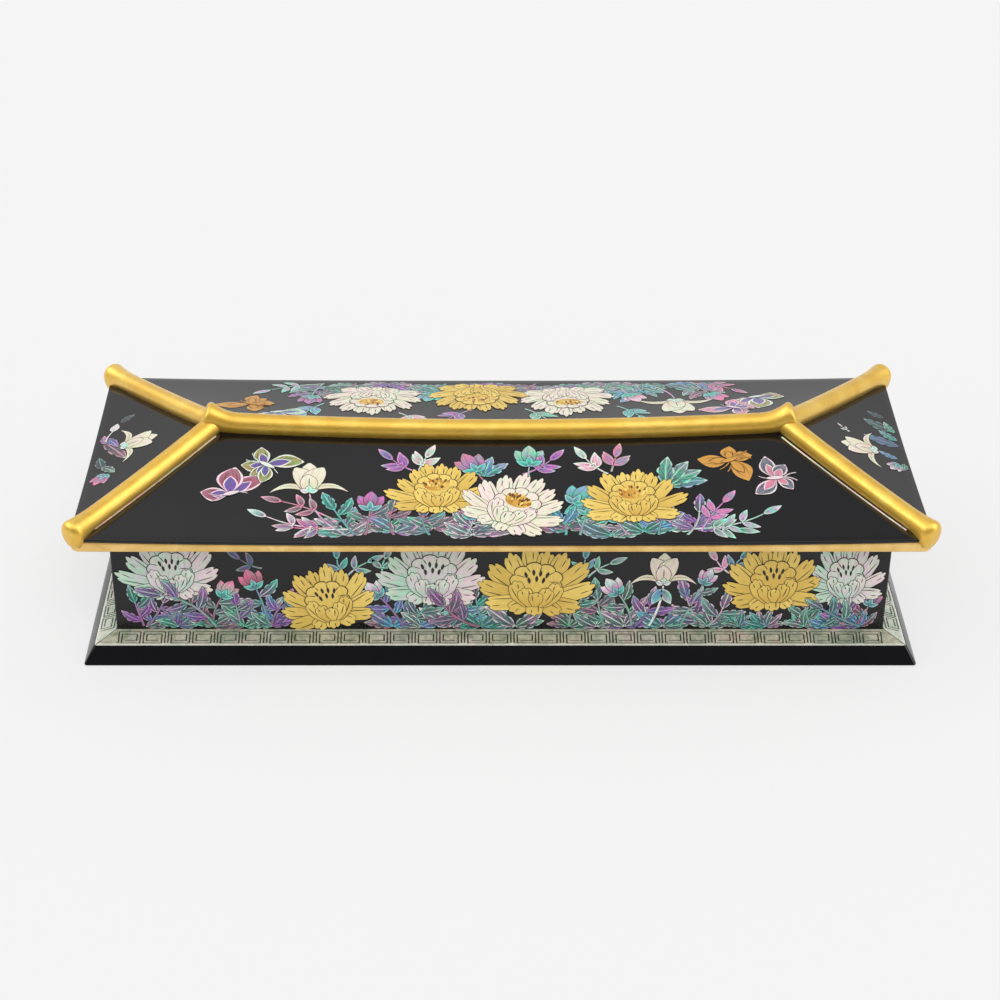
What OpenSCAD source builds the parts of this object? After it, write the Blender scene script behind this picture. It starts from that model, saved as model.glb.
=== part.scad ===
// Pen case in black lacquer with a hipped, roof-shaped lid that lifts off.
// The case stands on a bevelled base with fretted shell borders. The lid's
// boards turn up at the corners, under gilded beads with flared ends.
// Millimetres, Z up, front towards -Y, origin under the middle of the base.

/* [Base] */
// Length of the base along its foot
base_length = 240; // [210:1:300]
// Depth of the base along its foot
base_depth = 93; // [84:1:130]
// Height of the bevelled edge
bevel_height = 5; // [4:0.5:10]
// Lean of the bevelled edge
bevel_inset = 3; // [1:0.5:5]
// Width of the sloping shoulder, seen from above
shoulder_width = 6; // [5:0.5:8]
// Rise of the sloping shoulder
shoulder_rise = 1.8; // [0.6:0.2:3]
// Thickness of the felt sheet under the base
felt_thickness = 0.8; // [0.6:0.1:1.5]
// Part of the felt that stands below the base
felt_proud = 0.4; // [0.2:0.1:0.4]
// Bare rim between the felt and the foot
felt_margin = 4; // [2:1:10]

/* [Shell border] */
// Thickness of the inlaid shell strips
shell_thickness = 0.5; // [0.3:0.1:0.8]
// Lacquer left beside the strips
shell_margin = 0.2; // [0.1:0.1:0.5]
// Gap left at each mitred end of a strip
shell_mitre_gap = 0.2; // [0.15:0.05:0.4]
// Width of the fret's cut line
key_line = 0.42; // [0.3:0.02:0.5]
// Distance from one turn of a key to the next
key_step = 0.95; // [0.8:0.05:1]
// Plain shell between a key and the strip's edge
key_border = 0.85; // [0.6:0.05:1]
// Plain shell between two keys
key_space = 0.9; // [0.7:0.1:1.2]
// Length of strip that one key takes up, before it is fitted to the strip
key_pitch = 7; // [6.4:0.2:9]

/* [Case] */
// Height of the walls
wall_height = 32.4; // [24:0.2:60]
// Thickness of the walls
wall_thickness = 5; // [4:0.5:7]
// Thickness of the liners that line the walls
lip_thickness = 2; // [1.5:0.5:3]
// Height of the liners above the walls, where they hold the lid
lip_height = 2.4; // [1:0.2:2.4]
// Chamfer on the liners' upper edge
lip_chamfer = 0.6; // [0.2:0.2:1]
// Thickness of the padded floor lining
lining_thickness = 1.4; // [0.8:0.2:3]
// Gap round the floor lining
lining_gap = 0.2; // [0.1:0.1:0.5]

/* [Lid] */
// Gap between the liners and the lid's rails
lid_gap = 0.4; // [0.3:0.1:0.8]
// Overhang of the eaves beyond the walls
eave_overhang = 9.5; // [8:0.5:14]
// Height of the gilded eave trims in the middle of a side
trim_height = 2; // [1.2:0.1:2.4]
// Thickness of the gilded eave trims
trim_thickness = 1; // [0.6:0.1:1.4]
// Setback of the trims below the boards' edge
trim_setback = 0.2; // [0.1:0.1:0.4]
// Rise of the eave at the corners
corner_rise = 1.2; // [0:0.2:4]
// Height of the ridge's ends above the eaves
ridge_rise = 10.6; // [9.6:0.2:18]
// Dip of the ridge between its ends
ridge_dip = 2.6; // [0:0.2:3]
// Hollow of the roof's slope
roof_sag = 0.3; // [0:0.1:0.5]
// Distance from the end eave to the end of the ridge, seen from above
hip_run = 37.5; // [24:0.5:42]
// Thickness of the roof boards
board_thickness = 1.1; // [0.8:0.1:1.4]
// Glue line between the boards and the rails
glue_line = 0.05; // [0.02:0.01:0.1]

/* [Beads] */
// Diameter of the ridge bead
ridge_diameter = 6.4; // [5:0.2:7.4]
// Diameter of the hip beads
hip_diameter = 6; // [5:0.2:7.4]
// Height of a bead's centre line above the boards' edges
bead_seat = 1.2; // [0.6:0.1:2]
// Rise of the ridge bead at its ends
ridge_upturn = 2.8; // [0:0.2:5]
// Diameter of the ridge bead at its ends
ridge_end_diameter = 9; // [7.4:0.2:10]
// Length over which the ridge bead turns up
ridge_flare = 10; // [8:1:30]
// Reach of the ridge bead beyond the roof's ridge
ridge_reach = 3.6; // [1:0.2:5]
// Diameter of a hip bead at the corner
tip_diameter = 7.8; // [7.4:0.2:10]
// Length over which a hip bead widens
tip_flare = 11; // [8:1:25]
// Rise of a hip bead at the corner
tip_lift = 0; // [-1:0.2:3]
// Reach of a hip bead beyond the boards' corner, or short of it if negative
tip_reach = -0.4; // [-1:0.2:3]
// Rounding of the beads' ends
bead_round = 1.2; // [0.6:0.2:1.6]

/* [Hidden] */
BLACK = [0.07, 0.07, 0.08];
GOLD = [0.85, 0.65, 0.25];
SHELL = [0.8, 0.84, 0.78];
VELVET = [0.38, 0.05, 0.08];
FELT = [0.12, 0.12, 0.13];

bead_sides = 20;
flare_steps = 6;
plain_steps = 4;
round_steps = 3;
board_steps = 16;
slope_steps = 5;
trim_steps = 16;
apex = 0.01;
cut_spare = 2;
heading_step = 0.1;
front_curve = 3;
end_curve = 2;
seat_depth = max(tip_diameter, ridge_end_diameter);

body_length = base_length - 2 * (bevel_inset + shoulder_width);
body_depth = base_depth - 2 * (bevel_inset + shoulder_width);
inner_length = body_length - 2 * wall_thickness;
inner_depth = body_depth - 2 * wall_thickness;
floor_length = inner_length - 2 * lip_thickness;
floor_depth = inner_depth - 2 * lip_thickness;

z_foot = felt_proud;
z_bevel = z_foot + bevel_height;
z_body = z_bevel + shoulder_rise;
z_seam = z_body + wall_height;
z_eave = z_seam + trim_height + glue_line + board_thickness;

roof_x = body_length / 2 + eave_overhang;
roof_y = body_depth / 2 + eave_overhang;
trim_x = roof_x - trim_setback;
trim_y = roof_y - trim_setback;
rail_x = trim_x - trim_thickness;
rail_y = trim_y - trim_thickness;
ridge_half = roof_x - hip_run;
ridge_end = ridge_half + ridge_reach;
hip_length = norm([hip_run, roof_y]);

shoulder_slope = norm([shoulder_width, shoulder_rise]);
shoulder_angle = atan2(shoulder_rise, shoulder_width);

// Height of the ridge above the eaves: u runs along it from end (-1) to end (1).
function ridge_height(u) = ridge_rise - ridge_dip * (1 - u * u);

// Height of the roof's surface: s runs from the ridge (0) to the eave (1),
// u across the slope from hip (-1) to hip (1), and rise is the ridge's height there.
function roof_z(s, u, curve, rise) =
  z_eave + rise * (1 - s) - 4 * roof_sag * s * (1 - s)
  + corner_rise * s * s * pow(abs(u), curve);
function front_point(s, u) =
  [u * (ridge_half + hip_run * s), -roof_y * s, roof_z(s, u, front_curve, ridge_height(u))];
function end_point(s, u) =
  [ridge_half + hip_run * s, u * roof_y * s, roof_z(s, u, end_curve, ridge_rise)];
function trim_top(u, curve) = z_seam + trim_height + corner_rise * pow(min(1, abs(u)), curve);
function ramp(t) = pow(max(0, min(1, t)), 2);

// Faces of a closed slab over a grid of top points and as many lower points.
function grid_faces(m, n, base, flip) = [
  for (j = [0 : n - 1], i = [0 : m - 1], half = [0, 1])
    let (a = base + j * (m + 1) + i, b = a + m + 1)
    let (t = half == 0 ? [a, a + 1, b + 1] : [a, b + 1, b])
    flip ? [t[2], t[1], t[0]] : t
];
function rim(m, n) = concat(
  [for (i = [0 : m - 1]) i],
  [for (j = [0 : n - 1]) j * (m + 1) + m],
  [for (i = [m : -1 : 1]) n * (m + 1) + i],
  [for (j = [n : -1 : 1]) j * (m + 1)]
);
function rim_faces(loop, drop) = [
  for (k = [0 : len(loop) - 1], half = [0, 1])
    let (a = loop[k], b = loop[(k + 1) % len(loop)])
    half == 0 ? [a, a + drop, b + drop] : [a, b + drop, b]
];

module slab(rows, thickness) {
  m = len(rows[0]) - 1;
  n = len(rows) - 1;
  top = [for (row = rows) for (p = row) p];
  under = [for (p = top) p - [0, 0, thickness]];
  count = len(top);
  polyhedron(
    points = concat(top, under),
    faces = concat(
      grid_faces(m, n, 0, false),
      grid_faces(m, n, count, true),
      rim_faces(rim(m, n), count)
    )
  );
}

// Closed tube through rings of points, each ring with the same count.
module tube(rings) {
  n = len(rings);
  k = len(rings[0]);
  polyhedron(
    points = [for (ring = rings) for (p = ring) p],
    faces = concat(
      [for (j = [0 : n - 2], i = [0 : k - 1], half = [0, 1])
        let (a = j * k + i, b = j * k + (i + 1) % k)
        half == 0 ? [a, b, b + k] : [a, b + k, a + k]],
      [for (i = [1 : k - 2]) [0, i + 1, i]],
      [for (i = [1 : k - 2]) let (o = (n - 1) * k) [o, o + i, o + i + 1]]
    )
  );
}

// Ring of points round a centre, square to a heading that has no level turn.
function ring(centre, heading, radius) =
  let (ahead = heading / norm(heading))
  let (side = [ahead[1], -ahead[0], 0] / norm([ahead[0], ahead[1]]))
  let (up = cross(side, ahead))
  [for (i = [0 : bead_sides - 1])
    let (a = 360 * i / bead_sides)
    centre + radius * (cos(a) * side + sin(a) * up)];

// Plan of one mitred side of a rectangular frame, for the front.
module mitred_plan(half_length, half_depth, width) {
  polygon([
    [-half_length, -half_depth],
    [half_length, -half_depth],
    [half_length - width, -half_depth + width],
    [-half_length + width, -half_depth + width]
  ]);
}

// One mitred side: a section of distance from the outer edge and height, run along the side.
module mitred_side(half_length, half_depth, width, low, high) {
  intersection() {
    translate([0, -half_depth, 0])
      rotate([90, 0, 90])
        linear_extrude(2 * half_length + cut_spare, center = true) children();
    translate([0, 0, low])
      linear_extrude(high - low) mitred_plan(half_length, half_depth, width);
  }
}

// BASE

module base_section(half) {
  polygon([
    [-half, z_foot],
    [half, z_foot],
    [half - bevel_inset, z_bevel],
    [half - bevel_inset - shoulder_width, z_body],
    [-half + bevel_inset + shoulder_width, z_body],
    [-half + bevel_inset, z_bevel]
  ]);
}

module felt_sheet() {
  linear_extrude(felt_thickness)
    square([base_length - 2 * felt_margin, base_depth - 2 * felt_margin], center = true);
}

module base_board() {
  color(BLACK) difference() {
    intersection() {
      rotate([90, 0, 0])
        linear_extrude(base_depth + cut_spare, center = true) base_section(base_length / 2);
      rotate([90, 0, 90])
        linear_extrude(base_length + cut_spare, center = true) base_section(base_depth / 2);
    }
    felt_sheet();
    shell_strip(base_length / 2, base_depth / 2, false);
    rotate(180) shell_strip(base_length / 2, base_depth / 2, false);
    rotate(90) shell_strip(base_depth / 2, base_length / 2, false);
    rotate(-90) shell_strip(base_depth / 2, base_length / 2, false);
  }
}

module base_felt() {
  color(FELT) felt_sheet();
}

// Outline of a line with square corners: the two sides of the path.
function unit(v) = v / norm(v);
function left_of(v) = [-v[1], v[0]];
function corner_offset(path, i) =
  let (n = len(path) - 1)
  let (before = i == 0 ? path[1] - path[0] : path[i] - path[i - 1])
  let (after = i == n ? path[n] - path[n - 1] : path[i + 1] - path[i])
  i == 0 || i == n
    ? left_of(unit(after))
    : left_of(unit(before)) + left_of(unit(after));
function line_outline(path, width) = concat(
  [for (i = [0 : len(path) - 1]) path[i] + width / 2 * corner_offset(path, i)],
  [for (i = [len(path) - 1 : -1 : 0]) path[i] - width / 2 * corner_offset(path, i)]
);

// Square spiral that fills a box, from its lower left corner inwards.
function key_path(w, h, d) = [
  [0, 0], [0, h], [w, h], [w, 0], [d, 0], [d, h - d], [w - d, h - d], [w - d, d], [2 * d, d]
];

// Inlaid strip on one shoulder of the base, with its fret cut through it.
module shell_strip(half_length, half_depth, fretted) {
  v_low = shell_margin;
  v_high = shoulder_slope - shell_margin;
  run = cos(shoulder_angle);
  edge = half_length - bevel_inset - shell_mitre_gap;
  long_half = edge - v_low * run;
  short_half = edge - v_high * run;
  count = floor((2 * short_half - key_space) / key_pitch);
  pitch = (2 * short_half - key_space) / count;
  key_w = pitch - key_space;
  key_h = v_high - v_low - 2 * key_border;
  translate([0, -half_depth + bevel_inset, z_bevel])
    rotate([shoulder_angle, 0, 0])
      translate([0, 0, -shell_thickness])
        linear_extrude(shell_thickness)
          difference() {
            polygon([
              [-long_half, v_low],
              [long_half, v_low],
              [short_half, v_high],
              [-short_half, v_high]
            ]);
            if (fretted)
              for (i = [0 : count - 1])
                translate([-short_half + key_space / 2 + (i + 0.5) * pitch, v_low + key_border])
                  mirror([i % 2, 0])
                    translate([-key_w / 2, 0])
                      polygon(line_outline(key_path(key_w, key_h, key_step), key_line));
          }
}

module shell_front() {
  color(SHELL) shell_strip(base_length / 2, base_depth / 2, true);
}

module shell_back() {
  color(SHELL) rotate(180) shell_strip(base_length / 2, base_depth / 2, true);
}

module shell_right() {
  color(SHELL) rotate(90) shell_strip(base_depth / 2, base_length / 2, true);
}

module shell_left() {
  color(SHELL) rotate(-90) shell_strip(base_depth / 2, base_length / 2, true);
}

// CASE

module wall(half_length, half_depth) {
  translate([0, 0, z_body])
    linear_extrude(wall_height) mitred_plan(half_length, half_depth, wall_thickness);
}

module wall_front() {
  color(BLACK) wall(body_length / 2, body_depth / 2);
}

module wall_back() {
  color(BLACK) rotate(180) wall(body_length / 2, body_depth / 2);
}

module wall_right() {
  color(BLACK) rotate(90) wall(body_depth / 2, body_length / 2);
}

module wall_left() {
  color(BLACK) rotate(-90) wall(body_depth / 2, body_length / 2);
}

module liner(half_length, half_depth) {
  top = z_seam + lip_height;
  mitred_side(half_length, half_depth, lip_thickness, z_body, top)
    polygon([
      [0, z_body],
      [lip_thickness, z_body],
      [lip_thickness, top],
      [lip_chamfer, top],
      [0, top - lip_chamfer]
    ]);
}

module liner_front() {
  color(BLACK) liner(inner_length / 2, inner_depth / 2);
}

module liner_back() {
  color(BLACK) rotate(180) liner(inner_length / 2, inner_depth / 2);
}

module liner_right() {
  color(BLACK) rotate(90) liner(inner_depth / 2, inner_length / 2);
}

module liner_left() {
  color(BLACK) rotate(-90) liner(inner_depth / 2, inner_length / 2);
}

module floor_lining() {
  color(VELVET) translate([0, 0, z_body])
    linear_extrude(lining_thickness)
      square([floor_length - 2 * lining_gap, floor_depth - 2 * lining_gap], center = true);
}

// LID

// One moulding serves all four rails. Its top keeps below the flatter of the two slopes.
module rail(half_length, half_depth) {
  width = rail_y - inner_depth / 2 - lid_gap;
  slope = (ridge_height(0) - 4 * roof_sag) / max(roof_y, hip_run);
  outer = z_seam + trim_height;
  mitred_side(half_length, half_depth, width, z_seam, outer + slope * width)
    polygon([
      [0, z_seam],
      [width, z_seam],
      [width, outer + slope * width],
      [0, outer]
    ]);
}

module rail_front() {
  color(BLACK) rail(rail_x, rail_y);
}

module rail_back() {
  color(BLACK) rotate(180) rail(rail_x, rail_y);
}

module rail_right() {
  color(BLACK) rotate(90) rail(rail_y, rail_x);
}

module rail_left() {
  color(BLACK) rotate(-90) rail(rail_y, rail_x);
}

module front_slab(thickness) {
  slab([
    for (j = [0 : slope_steps])
      [for (i = [0 : board_steps]) front_point(j / slope_steps, 2 * i / board_steps - 1)]
  ], thickness);
}

module end_slab(thickness) {
  slab([
    for (j = [0 : slope_steps])
      [for (i = [0 : board_steps])
        end_point(apex + (1 - apex) * j / slope_steps, 2 * i / board_steps - 1)]
  ], thickness);
}

module roof_front() {
  color(BLACK) front_slab(board_thickness);
}

module roof_back() {
  color(BLACK) rotate(180) front_slab(board_thickness);
}

module roof_right() {
  color(BLACK) end_slab(board_thickness);
}

module roof_left() {
  color(BLACK) rotate(180) end_slab(board_thickness);
}

// Trim under the edge of a board: its foot is level and its top follows the eave.
module trim(half_length, half_depth, curve) {
  intersection() {
    translate([0, -half_depth + trim_thickness, 0])
      rotate([90, 0, 0])
        linear_extrude(trim_thickness)
          polygon(concat(
            [[-half_length, z_seam], [half_length, z_seam]],
            [for (i = [trim_steps : -1 : -trim_steps])
              [half_length * i / trim_steps, trim_top(i / trim_steps, curve)]]
          ));
    translate([0, 0, z_seam])
      linear_extrude(trim_height + corner_rise + cut_spare)
        mitred_plan(half_length, half_depth, trim_thickness);
  }
}

module trim_front() {
  color(GOLD) trim(trim_x, trim_y, front_curve);
}

module trim_back() {
  color(GOLD) rotate(180) trim(trim_x, trim_y, front_curve);
}

module trim_right() {
  color(GOLD) rotate(90) trim(trim_y, trim_x, end_curve);
}

module trim_left() {
  color(GOLD) rotate(-90) trim(trim_y, trim_x, end_curve);
}

// BEADS

// Rings that round off the end of a tube: a quarter turn from the side to the end face.
function rounded_end(centre, heading, radius) = [
  for (i = [1 : round_steps])
    let (a = 90 * i / round_steps)
    ring(
      centre + bead_round * sin(a) * unit(heading),
      heading,
      radius - bead_round * (1 - cos(a))
    )
];

function ridge_bend(x) = ramp((abs(x) - ridge_end + ridge_flare) / ridge_flare);
function ridge_centre(x) =
  [x, 0, z_eave + ridge_height(x / ridge_half) + bead_seat + ridge_upturn * ridge_bend(x)];
function ridge_heading(x) = ridge_centre(x + heading_step) - ridge_centre(x - heading_step);
function ridge_radius(x) =
  ridge_diameter / 2 + (ridge_end_diameter - ridge_diameter) / 2 * ridge_bend(x);
function ridge_half_rings() =
  let (start = ridge_end - ridge_flare)
  let (finish = ridge_end - bead_round)
  let (stations = concat(
    [for (i = [0 : plain_steps - 1]) start * (i + 0.5) / plain_steps],
    [for (i = [0 : flare_steps]) start + (finish - start) * i / flare_steps]
  ))
  concat(
    [for (x = stations) ring(ridge_centre(x), ridge_heading(x), ridge_radius(x))],
    rounded_end(ridge_centre(finish), ridge_heading(finish), ridge_radius(finish))
  );
function mirrored(rings) = [
  for (j = [len(rings) - 1 : -1 : 0])
    [for (p = rings[j]) [-p[0], p[1], p[2]]]
];

// The ridge bead before its seat is cut, with its upturned and rounded ends.
module ridge_tube() {
  tube(concat(mirrored(ridge_half_rings()), ridge_half_rings()));
}

module ridge_bead() {
  color(GOLD) difference() {
    ridge_tube();
    front_slab(seat_depth);
    rotate(180) front_slab(seat_depth);
    end_slab(seat_depth);
    rotate(180) end_slab(seat_depth);
  }
}

function tip_bend(d) = ramp((d - hip_length + tip_flare) / (tip_flare + tip_reach));
function hip_centre(d) =
  let (s = d / hip_length)
  [
    ridge_half + hip_run * s,
    -roof_y * s,
    roof_z(s, 1, front_curve, ridge_rise) + bead_seat + tip_lift * tip_bend(d)
  ];
function hip_heading(d) = hip_centre(d + heading_step) - hip_centre(d - heading_step);
function hip_radius(d) = hip_diameter / 2 + (tip_diameter - hip_diameter) / 2 * tip_bend(d);
function hip_rings() =
  let (start = hip_length - tip_flare)
  let (finish = hip_length + tip_reach - bead_round)
  let (stations = concat(
    [for (i = [0 : plain_steps - 1]) start * i / plain_steps],
    [for (i = [0 : flare_steps]) start + (finish - start) * i / flare_steps]
  ))
  concat(
    [for (d = stations) ring(hip_centre(d), hip_heading(d), hip_radius(d))],
    rounded_end(hip_centre(finish), hip_heading(finish), hip_radius(finish))
  );

// The small opening left where the boards meet at the end of the ridge.
module apex_gap() {
  width = 2 * apex * roof_y;
  translate([ridge_half, -width / 2, z_seam])
    cube([apex * hip_run, width, z_eave + ridge_rise - z_seam]);
}

// Hip bead of the right front corner: it butts against the ridge bead and its neighbour.
module hip_bead() {
  difference() {
    intersection() {
      tube(hip_rings());
      translate([0, -2 * roof_y, z_seam]) cube([2 * roof_x, 2 * roof_y, 2 * roof_y]);
    }
    ridge_tube();
    front_slab(seat_depth);
    end_slab(seat_depth);
    apex_gap();
    trim_front();
    trim_right();
  }
}

module hip_front_right() {
  color(GOLD) hip_bead();
}

module hip_back_right() {
  color(GOLD) mirror([0, 1, 0]) hip_bead();
}

module hip_front_left() {
  color(GOLD) mirror([1, 0, 0]) hip_bead();
}

module hip_back_left() {
  color(GOLD) rotate(180) hip_bead();
}

base_board();
base_felt();
shell_front();
shell_back();
shell_left();
shell_right();
wall_front();
wall_back();
wall_left();
wall_right();
liner_front();
liner_back();
liner_left();
liner_right();
floor_lining();
rail_front();
rail_back();
rail_left();
rail_right();
roof_front();
roof_back();
roof_left();
roof_right();
trim_front();
trim_back();
trim_left();
trim_right();
ridge_bead();
hip_front_left();
hip_front_right();
hip_back_left();
hip_back_right();
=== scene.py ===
import cmath
import math
import random
from collections import namedtuple

import bmesh
import bpy
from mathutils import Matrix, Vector


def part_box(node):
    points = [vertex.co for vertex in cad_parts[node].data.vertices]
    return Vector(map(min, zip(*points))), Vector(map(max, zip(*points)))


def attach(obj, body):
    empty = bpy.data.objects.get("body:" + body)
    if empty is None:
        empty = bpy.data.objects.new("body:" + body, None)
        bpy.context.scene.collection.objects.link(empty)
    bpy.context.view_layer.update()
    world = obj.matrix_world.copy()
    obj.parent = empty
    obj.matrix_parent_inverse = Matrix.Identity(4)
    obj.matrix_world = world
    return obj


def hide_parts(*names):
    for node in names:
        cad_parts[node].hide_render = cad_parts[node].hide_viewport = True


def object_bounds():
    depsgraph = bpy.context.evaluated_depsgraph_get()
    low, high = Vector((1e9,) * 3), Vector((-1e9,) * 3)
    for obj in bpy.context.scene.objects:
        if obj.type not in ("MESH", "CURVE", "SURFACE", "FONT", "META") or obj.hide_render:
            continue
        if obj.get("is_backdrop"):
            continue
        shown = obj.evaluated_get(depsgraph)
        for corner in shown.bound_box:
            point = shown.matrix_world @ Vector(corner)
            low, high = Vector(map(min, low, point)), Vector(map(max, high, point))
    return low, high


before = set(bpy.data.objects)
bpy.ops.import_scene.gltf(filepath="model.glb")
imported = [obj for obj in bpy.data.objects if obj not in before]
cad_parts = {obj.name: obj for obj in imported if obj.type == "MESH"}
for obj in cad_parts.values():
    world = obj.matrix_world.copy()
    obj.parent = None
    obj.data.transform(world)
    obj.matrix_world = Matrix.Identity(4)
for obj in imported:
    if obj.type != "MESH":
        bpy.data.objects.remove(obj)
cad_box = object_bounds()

# Black lacquer pen case with shell and gold inlay. Lengths are in metres, except
# in the inlay drawings, which are in millimetres on the face that they lie on.

MM = 0.001

# Sizes read from the frame

foot_low, foot_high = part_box("base_board")
felt_low, felt_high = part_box("base_felt")
wall_low, wall_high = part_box("wall_front")
liner_low, liner_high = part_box("liner_front")
pad_low, pad_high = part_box("floor_lining")
roof_low, roof_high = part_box("roof_front")
trim_low, trim_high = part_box("trim_front")
trim_side_low, trim_side_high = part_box("trim_right")

FOOT_X = foot_high.x
FOOT_Y = foot_high.y
WALL_X = wall_high.x
WALL_Y = -wall_low.y
WALL_FOOT = wall_low.z
WALL_TOP = wall_high.z
WALL_THICK = wall_high.y - wall_low.y
LINER_X = liner_high.x
LINER_Y = -liner_low.y
LINER_THICK = liner_high.y - liner_low.y
ROOF_X = roof_high.x
ROOF_Y = -roof_low.y
RIDGE_Z = roof_high.z
TRIM_THICK = trim_side_high.x - trim_side_low.x

# Shape of the plinth and the roof

BEVEL_HEIGHT = 5.0 * MM
BEVEL_INSET = 3.0 * MM
STRIP_MARGIN = 0.2 * MM
STRIP_DEPTH = 0.45 * MM
BOARD = 1.1 * MM
RIDGE_RISE = 10.6 * MM
RIDGE_DIP = 2.6 * MM
ROOF_SAG = 0.3 * MM
CORNER_RISE = 1.2 * MM
HIP_RUN = 37.5 * MM
EAVE_Z = RIDGE_Z - RIDGE_RISE
RIDGE_HALF = ROOF_X - HIP_RUN
HIP_LENGTH = math.hypot(HIP_RUN, ROOF_Y)
FRONT_CURVE = 3
END_CURVE = 2

# Gilded beads

BEAD_SEAT = 1.2 * MM
BEAD_SUNK = 0.6 * MM
RIDGE_RADIUS = 3.2 * MM
RIDGE_END = RIDGE_HALF + 3.6 * MM
RIDGE_FLARE = 10.0 * MM
RIDGE_UPTURN = 2.7 * MM
RIDGE_END_RADIUS = 4.5 * MM
RIDGE_ROUND = 1.2 * MM
HIP_RADIUS = 3.0 * MM
TIP_FLARE = 11.0 * MM
TIP_REACH = 0.1 * MM
TIP_RADIUS = 4.1 * MM
TIP_ROUND = 2.4 * MM
TIP_DROP = 8.0 * MM
BOARD_CORNER = 3.0 * MM
FASCIA_CORNER = 2.6 * MM

# Roundings of the pieces

FOOT_CORNER = 0.9 * MM
FOOT_EDGE = 0.4 * MM
WALL_CORNER = 0.7 * MM
WALL_EDGE = 0.25 * MM
LINER_CORNER = 0.3 * MM
LIP_EDGE = 0.6 * MM
PAD_CROWN = 0.5 * MM
PAD_EDGE = 3.0 * MM
FELT_CORNER = 2.0 * MM
FELT_EDGE = 0.15 * MM
BOARD_EDGE = 0.45 * MM
FASCIA_EDGE = 0.6 * MM
SHARP_ANGLE = math.radians(50)

# A face counts as level where its normal's Z is over the first, and as sloping where it is
# under the second too.

LEVEL_NORMAL = 0.9
SLOPE_NORMAL = 0.99

# Points nearer than these count as touching, or are merged.

TOUCHING = 0.01 * MM
MERGED = 0.001 * MM

# Steps along the eaves and the rods, and round their ends

EAVE_STEPS = 48
ROD_STEPS = 48
TURN_STEPS = 8


def ramp_up(t):
    return max(0.0, min(1.0, t)) ** 2


def ridge_height(u):
    """Height of the ridge over the eaves: u runs along it from end to end."""
    return RIDGE_RISE - RIDGE_DIP * (1 - u * u)


def roof_z(s, u, curve, rise):
    """Height of a roof board: s runs from ridge to eave, u from hip to hip."""
    slope = EAVE_Z + rise * (1 - s) - 4 * ROOF_SAG * s * (1 - s)
    return slope + CORNER_RISE * s * s * abs(u) ** curve


def front_point(s, u):
    z = roof_z(s, u, FRONT_CURVE, ridge_height(u))
    return Vector((u * (RIDGE_HALF + HIP_RUN * s), -ROOF_Y * s, z))


def end_point(s, u):
    z = roof_z(s, u, END_CURVE, RIDGE_RISE)
    return Vector((RIDGE_HALF + HIP_RUN * s, u * ROOF_Y * s, z))


def roof_height(x, y):
    """Height of the roof over a point of the plan."""
    s_front = abs(y) / ROOF_Y
    s_end = (abs(x) - RIDGE_HALF) / HIP_RUN
    if s_front >= s_end:
        u = x / (RIDGE_HALF + HIP_RUN * s_front)
        return roof_z(s_front, u, FRONT_CURVE, ridge_height(u))
    return roof_z(s_end, y / (ROOF_Y * s_end), END_CURVE, RIDGE_RISE)


# Colours, written as they look on a screen

def screen(red, green, blue):
    """A screen colour of 0 to 255 as linear light."""
    linear = []
    for value in (red, green, blue):
        c = value / 255
        linear.append(c / 12.92 if c <= 0.04045 else ((c + 0.055) / 1.055) ** 2.4)
    return (*linear, 1.0)


PEARL = screen(226, 232, 218)
MINT = screen(166, 212, 188)
TEAL = screen(58, 120, 108)
AQUA = screen(120, 196, 194)
SKY = screen(86, 118, 176)
VIOLET = screen(100, 80, 146)
ORCHID = screen(188, 124, 182)
ROSE = screen(208, 130, 150)
MOSS = screen(60, 92, 76)
SLATE = screen(80, 92, 104)
DUSK = screen(50, 58, 70)
CREAM = screen(230, 222, 198)
IVORY = screen(216, 203, 170)
BLUSH = screen(232, 208, 214)
LEMON = screen(246, 218, 120)
LEAF_GOLD = screen(225, 192, 94)
DEEP_GOLD = screen(204, 164, 68)
AMBER = screen(190, 120, 26)
COPPER = screen(208, 152, 70)
CRIMSON = screen(140, 56, 78)
OLIVE = screen(138, 130, 48)
BROWN = screen(104, 62, 18)
INK = screen(24, 19, 14)
BLACK = (0, 0, 0, 1)
WHITE = (1, 1, 1, 1)
STEM = screen(196, 168, 186)


# Node helpers

def new_finish(name):
    """A material with its node tree and its shader."""
    finish = bpy.data.materials.new(name)
    finish.use_nodes = True
    tree = finish.node_tree
    return finish, tree, tree.nodes["Principled BSDF"]


def object_place(tree):
    """Place on a piece, in metres."""
    return tree.nodes.new("ShaderNodeTexCoord").outputs["Object"]


def grain_place(tree, along, across):
    """Place along and across a cut piece of inlay, in millimetres that are stretched."""
    grain = tree.nodes.new("ShaderNodeUVMap")
    grain.uv_map = "grain"
    mapping = tree.nodes.new("ShaderNodeMapping")
    mapping.inputs["Scale"].default_value = (along, across, 1.0)
    tree.links.new(grain.outputs["UV"], mapping.inputs["Vector"])
    return mapping.outputs["Vector"]


def own_tint(tree):
    """Tint that each cut piece of inlay carries."""
    tint = tree.nodes.new("ShaderNodeAttribute")
    tint.attribute_name = "tint"
    return tint.outputs["Color"]


def axes_of(tree, vector):
    """X, Y and Z of a place or a direction."""
    axes = tree.nodes.new("ShaderNodeSeparateXYZ")
    tree.links.new(vector, axes.inputs["Vector"])
    return [axes.outputs[name] for name in "XYZ"]


def cloud(tree, vector, scale, detail=3.0, distortion=0.0):
    """A noise. Its scale is the number of patches to one unit of its place."""
    noise = tree.nodes.new("ShaderNodeTexNoise")
    noise.inputs["Scale"].default_value = scale
    noise.inputs["Detail"].default_value = detail
    noise.inputs["Distortion"].default_value = distortion
    tree.links.new(vector, noise.inputs["Vector"])
    return noise.outputs["Fac"]


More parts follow.
